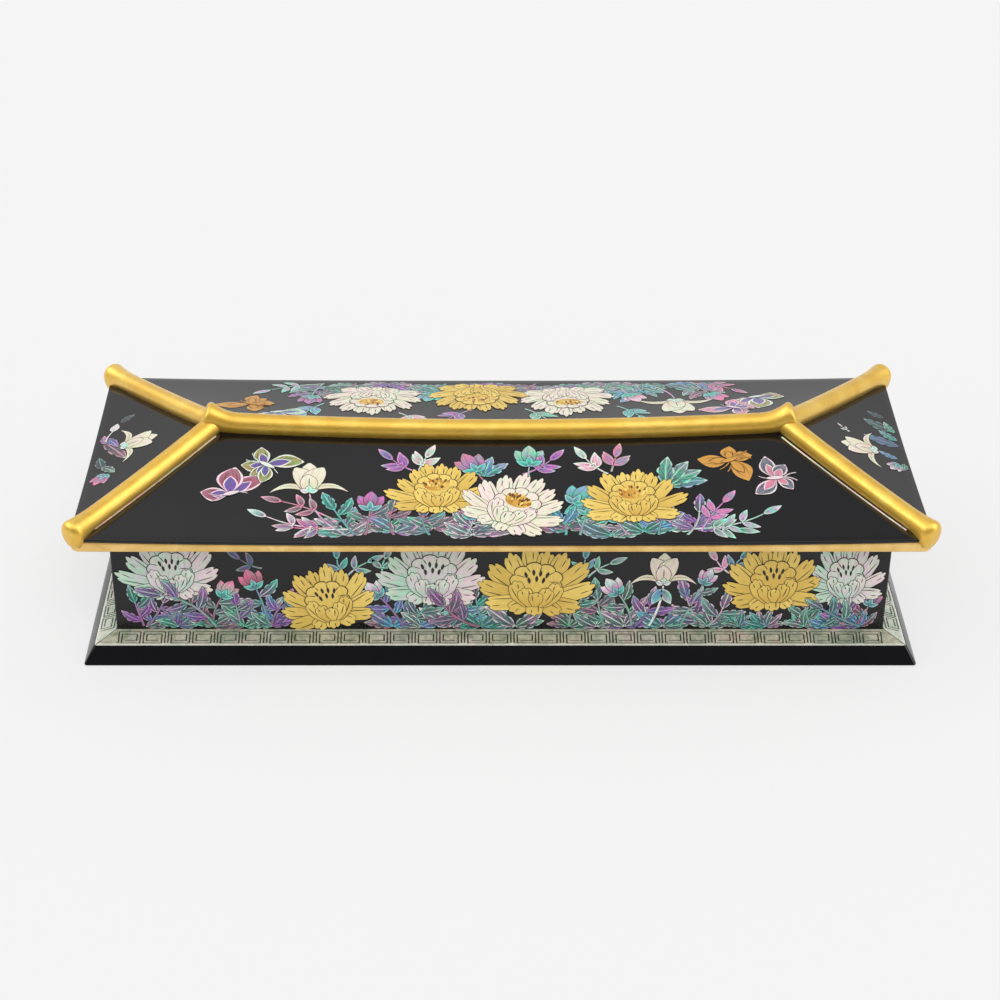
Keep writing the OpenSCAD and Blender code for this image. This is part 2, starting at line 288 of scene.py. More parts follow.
def colours(tree, factor, stops):
    """A colour band from (position, colour) stops."""
    band = tree.nodes.new("ShaderNodeValToRGB")
    elements = band.color_ramp.elements
    while len(elements) < len(stops):
        elements.new(0.5)
    for element, (position, colour) in zip(elements, stops):
        element.position = position
        element.color = colour
    tree.links.new(factor, band.inputs["Fac"])
    return band.outputs["Color"]


def spread_value(tree, factor, low, high, start=0.3, end=0.7):
    """A factor mapped to a range of values."""
    span = tree.nodes.new("ShaderNodeMapRange")
    span.inputs["From Min"].default_value = start
    span.inputs["From Max"].default_value = end
    span.inputs["To Min"].default_value = low
    span.inputs["To Max"].default_value = high
    tree.links.new(factor, span.inputs["Value"])
    return span.outputs["Result"]


def feed(tree, term, socket):
    """Feeds a socket from another one, or with a number."""
    if isinstance(term, float):
        socket.default_value = term
    else:
        tree.links.new(term, socket)


def combine(tree, operation, *terms):
    """Sockets and numbers worked into one value."""
    node = tree.nodes.new("ShaderNodeMath")
    node.operation = operation
    for socket, term in zip(node.inputs, terms):
        feed(tree, term, socket)
    return node.outputs["Value"]


def blend_value(tree, share, first, second):
    """A value between two sockets or numbers."""
    mix = tree.nodes.new("ShaderNodeMix")
    tree.links.new(share, mix.inputs["Factor"])
    feed(tree, first, mix.inputs["A"])
    feed(tree, second, mix.inputs["B"])
    return mix.outputs["Result"]


def blend_colour(tree, mode, share, first, second):
    mix = tree.nodes.new("ShaderNodeMix")
    mix.data_type = "RGBA"
    mix.blend_type = mode
    mix.inputs["Factor"].default_value = share
    tree.links.new(first, mix.inputs["A"])
    tree.links.new(second, mix.inputs["B"])
    return mix.outputs["Result"]


def relief(tree, shader, height, strength, depth):
    bump = tree.nodes.new("ShaderNodeBump")
    bump.inputs["Strength"].default_value = strength
    bump.inputs["Distance"].default_value = depth
    tree.links.new(height, bump.inputs["Height"])
    tree.links.new(bump.outputs["Normal"], shader.inputs["Normal"])


def paint(tree, shader, factor, stops):
    """Colour of a finish, from a colour band."""
    tree.links.new(colours(tree, factor, stops), shader.inputs["Base Color"])


def gloss(tree, shader, factor, smooth, rough):
    """Gloss of a finish, which varies between two values."""
    tree.links.new(spread_value(tree, factor, smooth, rough), shader.inputs["Roughness"])


def varnish(shader, weight, rough):
    """A clear coat on a finish."""
    shader.inputs["Coat Weight"].default_value = weight
    shader.inputs["Coat Roughness"].default_value = rough


# Finishes

def lacquer_finish(name, smooth, rough):
    """Black lacquer, polished by hand: a faint wave and uneven gloss."""
    finish, tree, shader = new_finish(name)
    place = object_place(tree)
    stops = [(0.3, screen(9, 8, 11)), (0.7, screen(14, 12, 16))]
    paint(tree, shader, cloud(tree, place, scale=45.0), stops)
    gloss(tree, shader, cloud(tree, place, scale=420.0, detail=4.0), smooth, rough)
    shader.inputs["Specular IOR Level"].default_value = 0.42
    wave = cloud(tree, place, scale=70.0, detail=1.0)
    relief(tree, shader, wave, strength=0.06, depth=0.3 * MM)
    return finish


def gilt_finish(name, tones, metal):
    """Gold leaf laid over a ground: patches of tone and a brushed skin."""
    finish, tree, shader = new_finish(name)
    place = object_place(tree)
    patches = cloud(tree, place, scale=150.0, detail=4.0, distortion=0.5)
    paint(tree, shader, patches, list(zip((0.3, 0.5, 0.7), tones)))
    shader.inputs["Metallic"].default_value = metal
    skin = cloud(tree, place, scale=900.0, detail=4.0)
    gloss(tree, shader, skin, smooth=0.34, rough=0.46)
    varnish(shader, weight=0.5, rough=0.22)
    relief(tree, shader, skin, strength=0.2, depth=0.05 * MM)
    return finish


def border_shell_finish():
    """Sawn shell of the key border: grey green with paler and rosy flashes, with painted glints,
    a painted highlight along its lower edge and a painted sheen where it is seen at a slant."""
    finish, tree, shader = new_finish("border_shell_and_painted_highlights")
    place = object_place(tree)
    tone = cloud(tree, place, scale=120.0, detail=4.0, distortion=1.2)
    stops = [
        (0.25, screen(132, 144, 124)),
        (0.42, screen(164, 168, 146)),
        (0.55, screen(190, 188, 166)),
        (0.66, screen(198, 178, 166)),
        (0.8, screen(150, 182, 162)),
    ]
    flash = cloud(tree, place, scale=480.0, distortion=0.8)
    streaks = colours(tree, flash, [(0.32, (0.6, 0.6, 0.55, 1)), (0.62, WHITE)])
    tinted = blend_colour(tree, "MULTIPLY", 0.8, colours(tree, tone, stops), streaks)
    # Painted glints: bright specks screened over the shell as highlights.
    painted_glints = cloud(tree, place, scale=300.0, detail=2.0, distortion=2.0)
    # Painted highlight along the lower edge of the strip.
    low = foot_low.z + BEVEL_HEIGHT
    height = axes_of(tree, place)[2]
    edge = spread_value(tree, height, 1.0, 0.0, low + 0.12 * MM, low + 0.34 * MM)
    # Painted sheen: lighter where the strip is seen at a slant, which brightens the side strips.
    painted_sheen_facing = tree.nodes.new("ShaderNodeLayerWeight")
    slant = spread_value(tree, painted_sheen_facing.outputs["Facing"], 0.0, 1.0, 0.32, 0.52)
    # The painted glints, lower-edge highlight and slant sheen, each screened over the shell's
    # colour.
    for factor, start, end, light in (
        (painted_glints, 0.64, 0.74, screen(120, 124, 112)),
        (edge, 0.0, 1.0, screen(178, 180, 172)),
        (slant, 0.0, 1.0, screen(148, 168, 152)),
    ):
        painted_highlight = colours(tree, factor, [(start, BLACK), (end, light)])
        tinted = blend_colour(tree, "SCREEN", 1.0, tinted, painted_highlight)
    tree.links.new(tinted, shader.inputs["Base Color"])
    gloss(tree, shader, flash, smooth=0.2, rough=0.36)
    varnish(shader, weight=0.35, rough=0.12)
    return finish


def filling_finish(name, scale, dark, light, rough):
    """Dull filling of sawn lines and gaps, finely specked."""
    finish, tree, shader = new_finish(name)
    speck = cloud(tree, object_place(tree), scale)
    paint(tree, shader, speck, [(0.3, dark), (0.7, light)])
    shader.inputs["Roughness"].default_value = rough
    return finish


def cut_shell_finish(name, streak, green, rose):
    """Cut shell: each piece's own tint, streaked along its growth lines, which plays from
    green to rose."""
    finish, tree, shader = new_finish(name)
    growth = cloud(tree, grain_place(tree, along=0.3, across=1.7), scale=1.0, distortion=0.7)
    stops = [(0.34, (0.2, 0.24, 0.28, 1)), (0.48, (0.8, 0.84, 0.84, 1)), (0.6, WHITE)]
    lines = colours(tree, growth, stops)
    streaked = blend_colour(tree, "MULTIPLY", streak, own_tint(tree), lines)
    flash = cloud(tree, object_place(tree), scale=210.0, detail=2.0, distortion=1.5)
    play = colours(tree, flash, [(0.36, green), (0.5, (0.5, 0.5, 0.5, 1)), (0.64, rose)])
    shimmer = blend_colour(tree, "OVERLAY", 0.8, streaked, play)
    tree.links.new(shimmer, shader.inputs["Base Color"])
    gloss(tree, shader, growth, smooth=0.2, rough=0.36)
    varnish(shader, weight=0.3, rough=0.1)
    return finish


def gold_leaf_finish():
    """Flat gold of the flowers, with a fine grain."""
    finish, tree, shader = new_finish("gold_leaf")
    grain = cloud(tree, grain_place(tree, along=0.25, across=1.3), scale=1.2, detail=4.0)
    shade = colours(tree, grain, [(0.34, (0.84, 0.81, 0.72, 1)), (0.6, WHITE)])
    tinted = blend_colour(tree, "MULTIPLY", 0.8, own_tint(tree), shade)
    tree.links.new(tinted, shader.inputs["Base Color"])
    shader.inputs["Metallic"].default_value = 0.12
    gloss(tree, shader, grain, smooth=0.3, rough=0.44)
    return finish


def cloth_finish(name, dark, light, nap, sheen):
    """Velvet or felt: mottled tone, a short nap and a soft sheen."""
    finish, tree, shader = new_finish(name)
    place = object_place(tree)
    brushed = cloud(tree, place, scale=80.0, detail=5.0)
    paint(tree, shader, brushed, [(0.3, dark), (0.7, light)])
    shader.inputs["Roughness"].default_value = 0.95
    shader.inputs["Specular IOR Level"].default_value = 0.15
    shader.inputs["Sheen Weight"].default_value = sheen
    shader.inputs["Sheen Roughness"].default_value = 0.4
    pile = cloud(tree, place, scale=nap, detail=4.0)
    relief(tree, shader, pile, strength=0.6, depth=0.15 * MM)
    return finish


LACQUER = lacquer_finish("black_lacquer", smooth=0.05, rough=0.1)
SATIN_LACQUER = lacquer_finish("satin_lacquer", smooth=0.24, rough=0.34)
BEAD_TONES = (screen(226, 178, 64), screen(232, 188, 74), screen(240, 202, 94))
EDGE_TONES = (screen(216, 172, 92), screen(228, 188, 108), screen(240, 204, 130))
GILT = gilt_finish("gilt", BEAD_TONES, metal=0.7)
PALE_GILT = gilt_finish("pale_gilt", EDGE_TONES, metal=0.5)
BORDER_SHELL_AND_PAINTED_HIGHLIGHTS = border_shell_finish()
BORDER_BED = filling_finish("border_bed", 500.0, screen(52, 54, 42), screen(78, 80, 64), rough=0.5)
ENGRAVING = filling_finish("engraving", 700.0, INK, screen(40, 33, 24), rough=0.4)
LEAF_SHELL = cut_shell_finish("leaf_shell", 0.5, (0.26, 0.68, 0.58, 1), (0.74, 0.4, 0.64, 1))
PETAL_SHELL = cut_shell_finish("petal_shell", 0.22, (0.4, 0.6, 0.54, 1), (0.62, 0.46, 0.6, 1))
GOLD_LEAF = gold_leaf_finish()
VELVET = cloth_finish("velvet", screen(122, 18, 32), screen(168, 34, 50), nap=2600.0, sheen=0.8)
FELT = cloth_finish("felt", screen(24, 24, 26), screen(44, 43, 45), nap=1800.0, sheen=0.3)


# Modelling helpers

def deselect():
    bpy.ops.object.select_all(action="DESELECT")


def make_active(obj):
    deselect()
    obj.select_set(True)
    bpy.context.view_layer.objects.active = obj


def block(name, low, high):
    """A box between two corners, ready to be shaped."""
    deselect()
    low = Vector(low)
    high = Vector(high)
    bpy.ops.mesh.primitive_cube_add(size=1, location=(low + high) / 2)
    obj = bpy.context.object
    obj.name = name
    obj.scale = high - low
    bpy.ops.object.transform_apply(location=True, rotation=True, scale=True)
    return obj


def pick(obj, kind, test):
    """Selects faces by centre and normal, or edges by their two ends, and opens edit mode."""
    bpy.ops.object.mode_set(mode="EDIT")
    bpy.ops.mesh.select_mode(type=kind)
    bpy.ops.mesh.select_all(action="DESELECT")
    bpy.ops.object.mode_set(mode="OBJECT")
    mesh = obj.data
    if kind == "FACE":
        for face in mesh.polygons:
            face.select = test(face.center, face.normal)
    else:
        for edge in mesh.edges:
            start, end = (mesh.vertices[i].co for i in edge.vertices)
            edge.select = test(start, end)
    bpy.ops.object.mode_set(mode="EDIT")


def close_edit():
    bpy.ops.object.mode_set(mode="OBJECT")


def merge_seams():
    """Merges the doubled points of the active piece and turns its faces outwards."""
    bpy.ops.object.mode_set(mode="EDIT")
    bpy.ops.mesh.select_all(action="SELECT")
    bpy.ops.mesh.remove_doubles(threshold=MERGED)
    bpy.ops.mesh.normals_make_consistent(inside=False)
    close_edit()


def soften(obj, width):
    """Rounds all sharp edges of a piece."""
    make_active(obj)
    soft = obj.modifiers.new("soft_edge", "BEVEL")
    soft.width = width
    soft.segments = 4
    soft.limit_method = "ANGLE"
    soft.angle_limit = SHARP_ANGLE
    bpy.ops.object.modifier_apply(modifier=soft.name)


def put_in_scene(name, data):
    obj = bpy.data.objects.new(name, data)
    bpy.context.collection.objects.link(obj)
    return obj


def piece_from(name, shape):
    """A piece from a mesh that was built point by point."""
    mesh = bpy.data.meshes.new(name)
    shape.to_mesh(mesh)
    shape.free()
    return put_in_scene(name, mesh)


def round_edges(obj, test, radius, segments):
    pick(obj, "EDGE", test)
    bpy.ops.mesh.bevel(offset=radius, segments=segments, affect="EDGES", clamp_overlap=True)
    close_edit()


def near(a, b):
    return abs(a - b) < TOUCHING


def upright_at(x):
    """Test for upright edges at a distance from the middle of the case."""

    def test(a, b):
        return near(abs(a.x), x) and near(abs(b.x), x) and near(a.y, b.y) and a.z != b.z

    return test


def level_at(z):
    """Test for the level edges at a height."""
    return lambda a, b: near(a.z, z) and near(b.z, z)


def smooth(obj, degrees=32):
    make_active(obj)
    bpy.ops.object.shade_smooth_by_angle(angle=math.radians(degrees))


def dress(obj, finish, body, slot, *nodes):
    """Gives a piece its finish and its body, and hides the solids that it stands for."""
    obj.data.materials.clear()
    obj.data.materials.append(finish)
    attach(obj, body)
    if nodes:
        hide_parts(*nodes)


def sides(stem):
    return [f"{stem}_{side}" for side in ("front", "back", "left", "right")]


# Case

def ring(name, half_x, half_y, low, high, width):
    """A rectangular frame of one width."""
    obj = block(name, (-half_x, -half_y, low), (half_x, half_y, high))
    pick(obj, "FACE", lambda centre, normal: abs(normal.z) > LEVEL_NORMAL)
    bpy.ops.mesh.inset(thickness=width)
    bpy.ops.mesh.bridge_edge_loops()
    close_edit()
    return obj


def make_plinth():
    """Bevelled foot with a sloping shoulder, let in on each side for a strip of border."""
    bevel_z = foot_low.z + BEVEL_HEIGHT
    obj = block("plinth", foot_low, (FOOT_X, FOOT_Y, bevel_z))
    bevel_x = FOOT_X - BEVEL_INSET
    bevel_y = FOOT_Y - BEVEL_INSET
    pick(obj, "FACE", lambda centre, normal: normal.z > LEVEL_NORMAL)
    bpy.ops.transform.resize(
        value=(bevel_x / FOOT_X, bevel_y / FOOT_Y, 1),
        center_override=(0, 0, bevel_z),
    )
    bpy.ops.mesh.extrude_region_move(
        TRANSFORM_OT_translate={"value": (0, 0, foot_high.z - bevel_z)}
    )
    bpy.ops.transform.resize(
        value=(WALL_X / bevel_x, WALL_Y / bevel_y, 1),
        center_override=(0, 0, foot_high.z),
    )
    close_edit()
    pick(obj, "FACE", lambda centre, normal: LEVEL_NORMAL < normal.z < SLOPE_NORMAL)
    bpy.ops.mesh.inset(thickness=STRIP_MARGIN, depth=-STRIP_DEPTH, use_individual=True)
    close_edit()
    round_edges(obj, lambda a, b: near(abs(a.z - b.z), BEVEL_HEIGHT), FOOT_CORNER, segments=4)
    round_edges(obj, level_at(foot_low.z), FOOT_EDGE, segments=3)
    smooth(obj)
    dress(obj, LACQUER, "case", "lacquer", "base_board")
    obj.data.materials.append(BORDER_BED)
    bed_z = bevel_z - STRIP_DEPTH
    pick(obj, "FACE", lambda centre, normal: foot_high.z > centre.z > bed_z and normal.z > 0)
    obj.active_material_index = 1
    bpy.ops.object.material_slot_assign()
    close_edit()


def make_walls():
    obj = ring("lacquered_walls", WALL_X, WALL_Y, WALL_FOOT, WALL_TOP, WALL_THICK)
    round_edges(obj, upright_at(WALL_X), WALL_CORNER, segments=4)
    round_edges(obj, level_at(WALL_TOP), WALL_EDGE, segments=3)
    smooth(obj)
    dress(obj, LACQUER, "case", "lacquer", *sides("wall"))


def make_liner():
    obj = ring("liner_lip", LINER_X, LINER_Y, liner_low.z, liner_high.z, LINER_THICK)
    round_edges(obj, upright_at(LINER_X), LINER_CORNER, segments=3)
    round_edges(obj, level_at(liner_high.z), LIP_EDGE, segments=4)
    smooth(obj)
    dress(obj, SATIN_LACQUER, "case", "liner", *sides("liner"))


def make_pad():
    """Velvet pad: full in the middle and drawn in at its edge."""
    obj = block("velvet_pad", pad_low, pad_high)
    pick(obj, "FACE", lambda centre, normal: True)
    bpy.ops.mesh.subdivide(number_cuts=60)
    close_edit()
    for vertex in obj.data.vertices:
        inward = min(pad_high.x - abs(vertex.co.x), pad_high.y - abs(vertex.co.y))
        share = min(1.0, inward / PAD_EDGE)
        if vertex.co.z > pad_low.z + TOUCHING:
            rise = (vertex.co.z - pad_low.z) / (pad_high.z - pad_low.z)
            vertex.co.z -= PAD_CROWN * rise * (1 - math.sqrt(1 - (1 - share) ** 2))
    smooth(obj, degrees=60)
    dress(obj, VELVET, "case", "velvet", "floor_lining")


def make_felt():
    obj = block("felt_sole", felt_low, felt_high)
    round_edges(obj, upright_at(felt_high.x), FELT_CORNER, segments=5)
    round_edges(obj, level_at(felt_low.z), FELT_EDGE, segments=2)
    smooth(obj)
    dress(obj, FELT, "case", "felt", "base_felt")


# Lid

def inside_corner(spot):
    """A point of the roof, drawn in to the rounded corner of the boards' plan."""
    over_x = abs(spot.x) - ROOF_X + BOARD_CORNER
    over_y = abs(spot.y) - ROOF_Y + BOARD_CORNER
    share = min(1.0, BOARD_CORNER / max(math.hypot(over_x, over_y), TOUCHING))
    if over_x <= 0 or over_y <= 0:
        return spot
    x = math.copysign(ROOF_X - BOARD_CORNER + over_x * share, spot.x)
    y = math.copysign(ROOF_Y - BOARD_CORNER + over_y * share, spot.y)
    return Vector((x, y, spot.z))


def make_board(name, point, turn, node):
    """One roof board: a curved sheet given its thickness and a rounded lip."""
    deselect()
    bpy.ops.mesh.primitive_grid_add(x_subdivisions=56, y_subdivisions=16, size=2)
    obj = bpy.context.object
    obj.name = name
    for vertex in obj.data.vertices:
        spot = inside_corner(point((1 - vertex.co.y) / 2, vertex.co.x))
        vertex.co = Vector((turn * spot.x, turn * spot.y, spot.z))
    merge_seams()
    if obj.data.polygons[0].normal.z < 0:
        obj.data.flip_normals()
    make_active(obj)
    thickness = obj.modifiers.new("thickness", "SOLIDIFY")
    thickness.thickness = BOARD
    thickness.offset = -1
    bpy.ops.object.modifier_apply(modifier=thickness.name)
    soften(obj, BOARD_EDGE)
    smooth(obj, degrees=40)
    dress(obj, LACQUER, "lid", "lacquer", node)


def make_boards():
    make_board("front_board", front_point, 1, "roof_front")
    make_board("back_board", front_point, -1, "roof_back")
    make_board("right_board", end_point, 1, "roof_right")
    make_board("left_board", end_point, -1, "roof_left")


def rod(name, stations):
    """A round rod through (centre, radius) stations, as a closed mesh."""
    curve = bpy.data.curves.new(name, "CURVE")
    curve.dimensions = "3D"
    curve.bevel_depth = 1.0
    curve.bevel_resolution = 10
    curve.use_fill_caps = True
    spline = curve.splines.new("POLY")
    spline.points.add(len(stations) - 1)
    for point, (centre, radius) in zip(spline.points, stations):
        point.co = (*centre, 1.0)
        point.radius = radius
    make_active(put_in_scene(name, curve))
    bpy.ops.object.convert(target="MESH")
    merge_seams()
    return bpy.context.object


def seat_on_roof(obj):
    """Lets the underside of a bead end inside the boards."""
    for vertex in obj.data.vertices:
        x, y, z = vertex.co
        if abs(x) < ROOF_X - TIP_RADIUS and abs(y) < ROOF_Y - TIP_RADIUS:
            vertex.co.z = max(z, roof_height(x, y) - BEAD_SUNK)


def ridge_station(x):
    """Centre and radius of the ridge bead, which rises and widens at its ends."""
    bend = ramp_up((abs(x) - RIDGE_END + RIDGE_FLARE) / RIDGE_FLARE)
    z = EAVE_Z + ridge_height(x / RIDGE_HALF) + BEAD_SEAT + RIDGE_UPTURN * bend
    return Vector((x, 0, z)), RIDGE_RADIUS + (RIDGE_END_RADIUS - RIDGE_RADIUS) * bend


def hip_station(d):
    """Centre and radius of a hip bead at a distance from the ridge. It widens at its tip."""
    s = d / HIP_LENGTH
    bend = ramp_up((d - HIP_LENGTH + TIP_FLARE) / (TIP_FLARE + TIP_REACH))
    z = roof_z(s, 1, FRONT_CURVE, RIDGE_RISE) + BEAD_SEAT
    centre = Vector((RIDGE_HALF + HIP_RUN * s, -ROOF_Y * s, z))
    return centre, HIP_RADIUS + (TIP_RADIUS - HIP_RADIUS) * bend


def half_rod(station, end, rounding):
    """Stations from the middle to the end of a rod, which is rounded off."""
    length = end - rounding
    stations = [station(length * i / ROD_STEPS) for i in range(ROD_STEPS + 1)]
    centre, radius = stations[-1]
    ahead = (centre - stations[-2][0]).normalized()
    for i in range(1, TURN_STEPS + 1):
        angle = math.pi / 2 * i / TURN_STEPS
        spot = centre + ahead * rounding * math.sin(angle)
        stations.append((spot, radius - rounding * (1 - math.cos(angle))))
    return stations


def drop_tip(obj):
    """Draws the lower side of a tip down to the foot of the fascia, which ends in it."""
    for vertex in obj.data.vertices:
        x, y, z = vertex.co
        d = ((abs(x) - RIDGE_HALF) * HIP_RUN + abs(y) * ROOF_Y) / HIP_LENGTH
        share = ramp_up((d - HIP_LENGTH + TIP_DROP) / (TIP_DROP + TIP_REACH - TIP_ROUND))
        middle, radius = hip_station(d)
        if z < middle.z:
            reach = (middle.z - trim_low.z) / radius - 1
            vertex.co.z = middle.z - (middle.z - z) * (1 + share * reach)


def make_ridge():
    right = half_rod(ridge_station, RIDGE_END, RIDGE_ROUND)
    left = [(Vector((-c.x, c.y, c.z)), r) for c, r in reversed(right[1:])]
    obj = rod("ridge_rod", left + right)
    seat_on_roof(obj)
    smooth(obj, degrees=50)
    dress(obj, GILT, "lid", "gilt", "ridge_bead")


def make_hips():
    hip = half_rod(hip_station, HIP_LENGTH + TIP_REACH, TIP_ROUND)
    for node, across, along in (
        ("hip_front_right", 1, 1),
        ("hip_front_left", -1, 1),
        ("hip_back_right", 1, -1),
        ("hip_back_left", -1, -1),
    ):
        stations = [(Vector((across * c.x, along * c.y, c.z)), r) for c, r in hip]
        obj = rod(node + "_rod", stations)
        drop_tip(obj)
        seat_on_roof(obj)
        smooth(obj, degrees=50)
        dress(obj, GILT, "lid", "gilt", node)


def eave_stations():
    """Places round the foot of the eaves, each with its outward direction: a turn at each
    corner, and steps along each side, so that the fascia's upper edge can follow the boards."""
    turns = []
    for quarter, across, along in ((0, 1, 1), (1, -1, 1), (2, -1, -1), (3, 1, -1)):
        x = across * (trim_high.x - FASCIA_CORNER)
        y = along * (trim_side_high.y - FASCIA_CORNER)
        for i in range(TURN_STEPS + 1):
            angle = math.pi / 2 * (quarter + i / TURN_STEPS)
            outward = Vector((math.cos(angle), math.sin(angle), 0))
            turns.append((Vector((x, y, 0)) + outward * FASCIA_CORNER, outward))
    stations = []
    for i, (spot, outward) in enumerate(turns):
        stations.append((spot, outward))
        after, _ = turns[(i + 1) % len(turns)]
        if (after - spot).length > FASCIA_CORNER:
            for k in range(1, EAVE_STEPS):
                stations.append((spot.lerp(after, k / EAVE_STEPS), outward))
    return stations


def eave_top(spot):
    """Height of the fascia's upper edge, just under the boards."""
    front = abs(spot.x) / trim_high.x
    end = abs(spot.y) / trim_side_high.y
    rise = CORNER_RISE * min(1.0, front ** FRONT_CURVE, end ** END_CURVE)
    return EAVE_Z - BOARD + rise


def make_fascia():
    """Gilded edge under the eaves: one band that turns round corners, higher at the corners."""
    band = bmesh.new()
    loops = []
    for spot, outward in eave_stations():
        inner = spot - outward * TRIM_THICK
        top = min(eave_top(spot), eave_top(inner))
        section = ((spot, trim_low.z), (spot, top), (inner, top), (inner, trim_low.z))
        loops.append([band.verts.new((place.x, place.y, z)) for place, z in section])
    for before, loop in zip(loops[-1:] + loops, loops):
        for k in range(4):
            band.faces.new((before[k - 1], loop[k - 1], loop[k], before[k]))
    bmesh.ops.recalc_face_normals(band, faces=band.faces)
    obj = piece_from("fascia", band)
    soften(obj, FASCIA_EDGE)
    smooth(obj)
    dress(obj, PALE_GILT, "lid", "gilt", *sides("trim"))


def finish_solids():
    """Solids that show as they are, with their finish laid on."""
    for stem, finish in (("shell", BORDER_SHELL_AND_PAINTED_HIGHLIGHTS), ("rail", SATIN_LACQUER)):
        for node in sides(stem):
            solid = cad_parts[node]
            solid.data.materials.clear()
            solid.data.materials.append(finish)


# Inlay: cut pieces are drawn flat. A point of a face is a complex number, along the
# face and up it, in millimetres. Pieces overlap by level, each with a dark gap round it.
# A shape gives the width of a blade along its spine, from its root to its tip.

Cut = namedtuple("Cut", "outline level finish root tip near far solid pairs")
Face = namedtuple("Face", "cuts rng inside")

FINISHES = [LEAF_SHELL, PETAL_SHELL, GOLD_LEAF, ENGRAVING]
SHELL, PETAL, GOLD, LINE = range(4)

# Height of the lowest level over the lacquer, of each level over the last, and of the
# underside of a plate, in millimetres
GROUND = 0.02
LEVEL = 0.016
SUNK = -0.05

# Levels of a plate, of the fields on it and of lines cut in them, over its dark gap
PLATE_LIFT = 0.35
FIELD_LIFT = 0.6
SLIT_LIFT = 0.7
CUT_LIFT = 0.8

# Widths of dark gaps, and half widths of lines and stems, in millimetres
GAP = 0.17
STEM_GAP = 0.1
CUP_GAP = 0.28
LINE_HALF = 0.14
VEIN_HALF = 0.09
THREAD_HALF = 0.22
SPRIG_HALF = 0.3
BRANCH_HALF = 0.36
HIP_HIGHLIGHT_HALF = 0.26


def heading(degrees):
    """Direction on a face, from the right and turning up."""
    return cmath.exp(1j * math.radians(degrees))


def leaf_shape(t):
    return max(0.04, math.sin(math.pi * t ** 0.85) ** 0.85)


def petal_shape(t):
    return 0.3 + 0.7 * math.sin(math.pi / 2 * min(1.0, t / 0.78))


def round_shape(t):
    return max(0.12, math.sin(math.pi * (0.06 + 0.94 * t) ** 1.15) ** 0.6)


def petal_bud_shape(t):
    return max(0.1, math.sin(math.pi * t ** 1.25) ** 0.75)


def wing_shape(t):
    return max(0.05, math.sin(math.pi * t ** 1.15) ** 0.9)


def line_shape(t):
    return max(0.15, math.sin(math.pi * t) ** 0.5)


def stem_shape(t):
    return 1.0 - 0.45 * t


def spine(root, tip, half, shape, bend=0.0):
    """Place on a blade: t runs along its bent spine, w across it from edge to edge."""
    span = tip - root
    side = 1j * span / abs(span)

    def at(t, w):
        return root + span * t + side * (4 * bend * t * (1 - t) + w * half * shape(t))

    return at


def ahead_of(at, t):
    """Direction of a spine."""
    step = at(t + 0.1, 0) - at(t, 0)
    return step / abs(step)


def panel(at, start=0.0, end=1.0, right=-1.0, left=1.0, steps=6):
    """Outline of part of a blade."""
    shares = [start + (end - start) * i / steps for i in range(steps + 1)]
    return [at(t, right) for t in shares] + [at(t, left) for t in reversed(shares)]


def half_panel(at, side, start, end, rib, edge, steps):
    """Outline of a field between the rib and the edge of a blade, on one side."""
    right, left = sorted((rib * side, edge * side))
    return panel(at, start, end, right, left, steps)


def toothed(at, teeth, notch, shoulder):
    """Outline of a petal whose rounded end is cut into teeth."""
    shares = [shoulder * i / 4 for i in range(5)]
    crown = []
    for j in range(1, 4 * teeth):
        w = j / (2 * teeth) - 1
        reach = shoulder + (1 - shoulder) * math.sqrt(1 - 0.8 * w * w)
        depth = (1, 0.25, 0, 0.25)[j % 4]
        crown.append(at(reach - notch * depth, w))
    return [at(t, -1) for t in shares] + crown + [at(t, 1) for t in reversed(shares)]


def scalloped(middle, across, up, lobes):
    """Outline of an oval whose edge is cut into round lobes."""
    outline = []
    for i in range(6 * lobes):
        angle = math.pi * i / (3 * lobes)
        share = 0.86 + 0.14 * abs(math.sin(lobes * angle / 2)) ** 0.6
        outline.append(middle + share * (across * math.cos(angle) + up * math.sin(angle)))
    return outline


def lobed(at):
    """Outline of a leaf whose edge is cut into three lobes on each side."""
    notch = 0.72
    edge = [(0, 1), (0.14, 1), (0.27, 1), (0.35, notch), (0.46, 1), (0.57, 1)]
    edge += [(0.64, notch), (0.74, 1), (0.86, 1), (1, 1)]
    return [at(t, -w) for t, w in edge] + [at(t, w) for t, w in reversed(edge)]


def spread(outline, gap):
    """An outline set out by a gap, and by less at a sharp point."""
    sharp = 0.35
    wide = []
    for i, point in enumerate(outline):
        before = point - outline[i - 1]
        after = outline[(i + 1) % len(outline)] - point
        normal = -1j * (before / (abs(before) or 1) + after / (abs(after) or 1))
        wide.append(point + gap * normal / max(abs(normal), sharp))
    return wide


def between(first, second, share):
    """A colour between two."""
    return tuple(a + (b - a) * share for a, b in zip(first, second))


def lay(face, outline, level, finish, root, tip, near_tint, far_tint, gap=GAP, pairs=0):
    """Adds a cut piece, over a dark line that is a little wider."""
    if gap:
        rim = spread(outline, gap)
        face.cuts.append(Cut(rim, level, LINE, root, tip, INK, INK, False, pairs))
    lift = level + PLATE_LIFT
    plate = Cut(outline, lift, finish, root, tip, near_tint, far_tint, True, pairs)
    face.cuts.append(plate)


def fill(face, outline, level, root, tip, near_tint, far_tint, finish=SHELL):
    """Adds a thin field on a cut piece."""
    face.cuts.append(Cut(outline, level, finish, root, tip, near_tint, far_tint, False, 0))


def engrave(face, start, end, level, bend=0.0, half=LINE_HALF):
    """A line cut in a plate and filled dark."""
    at = spine(start, end, half, line_shape, bend)
    fill(face, panel(at, steps=4), level + CUT_LIFT, start, end, INK, INK, LINE)


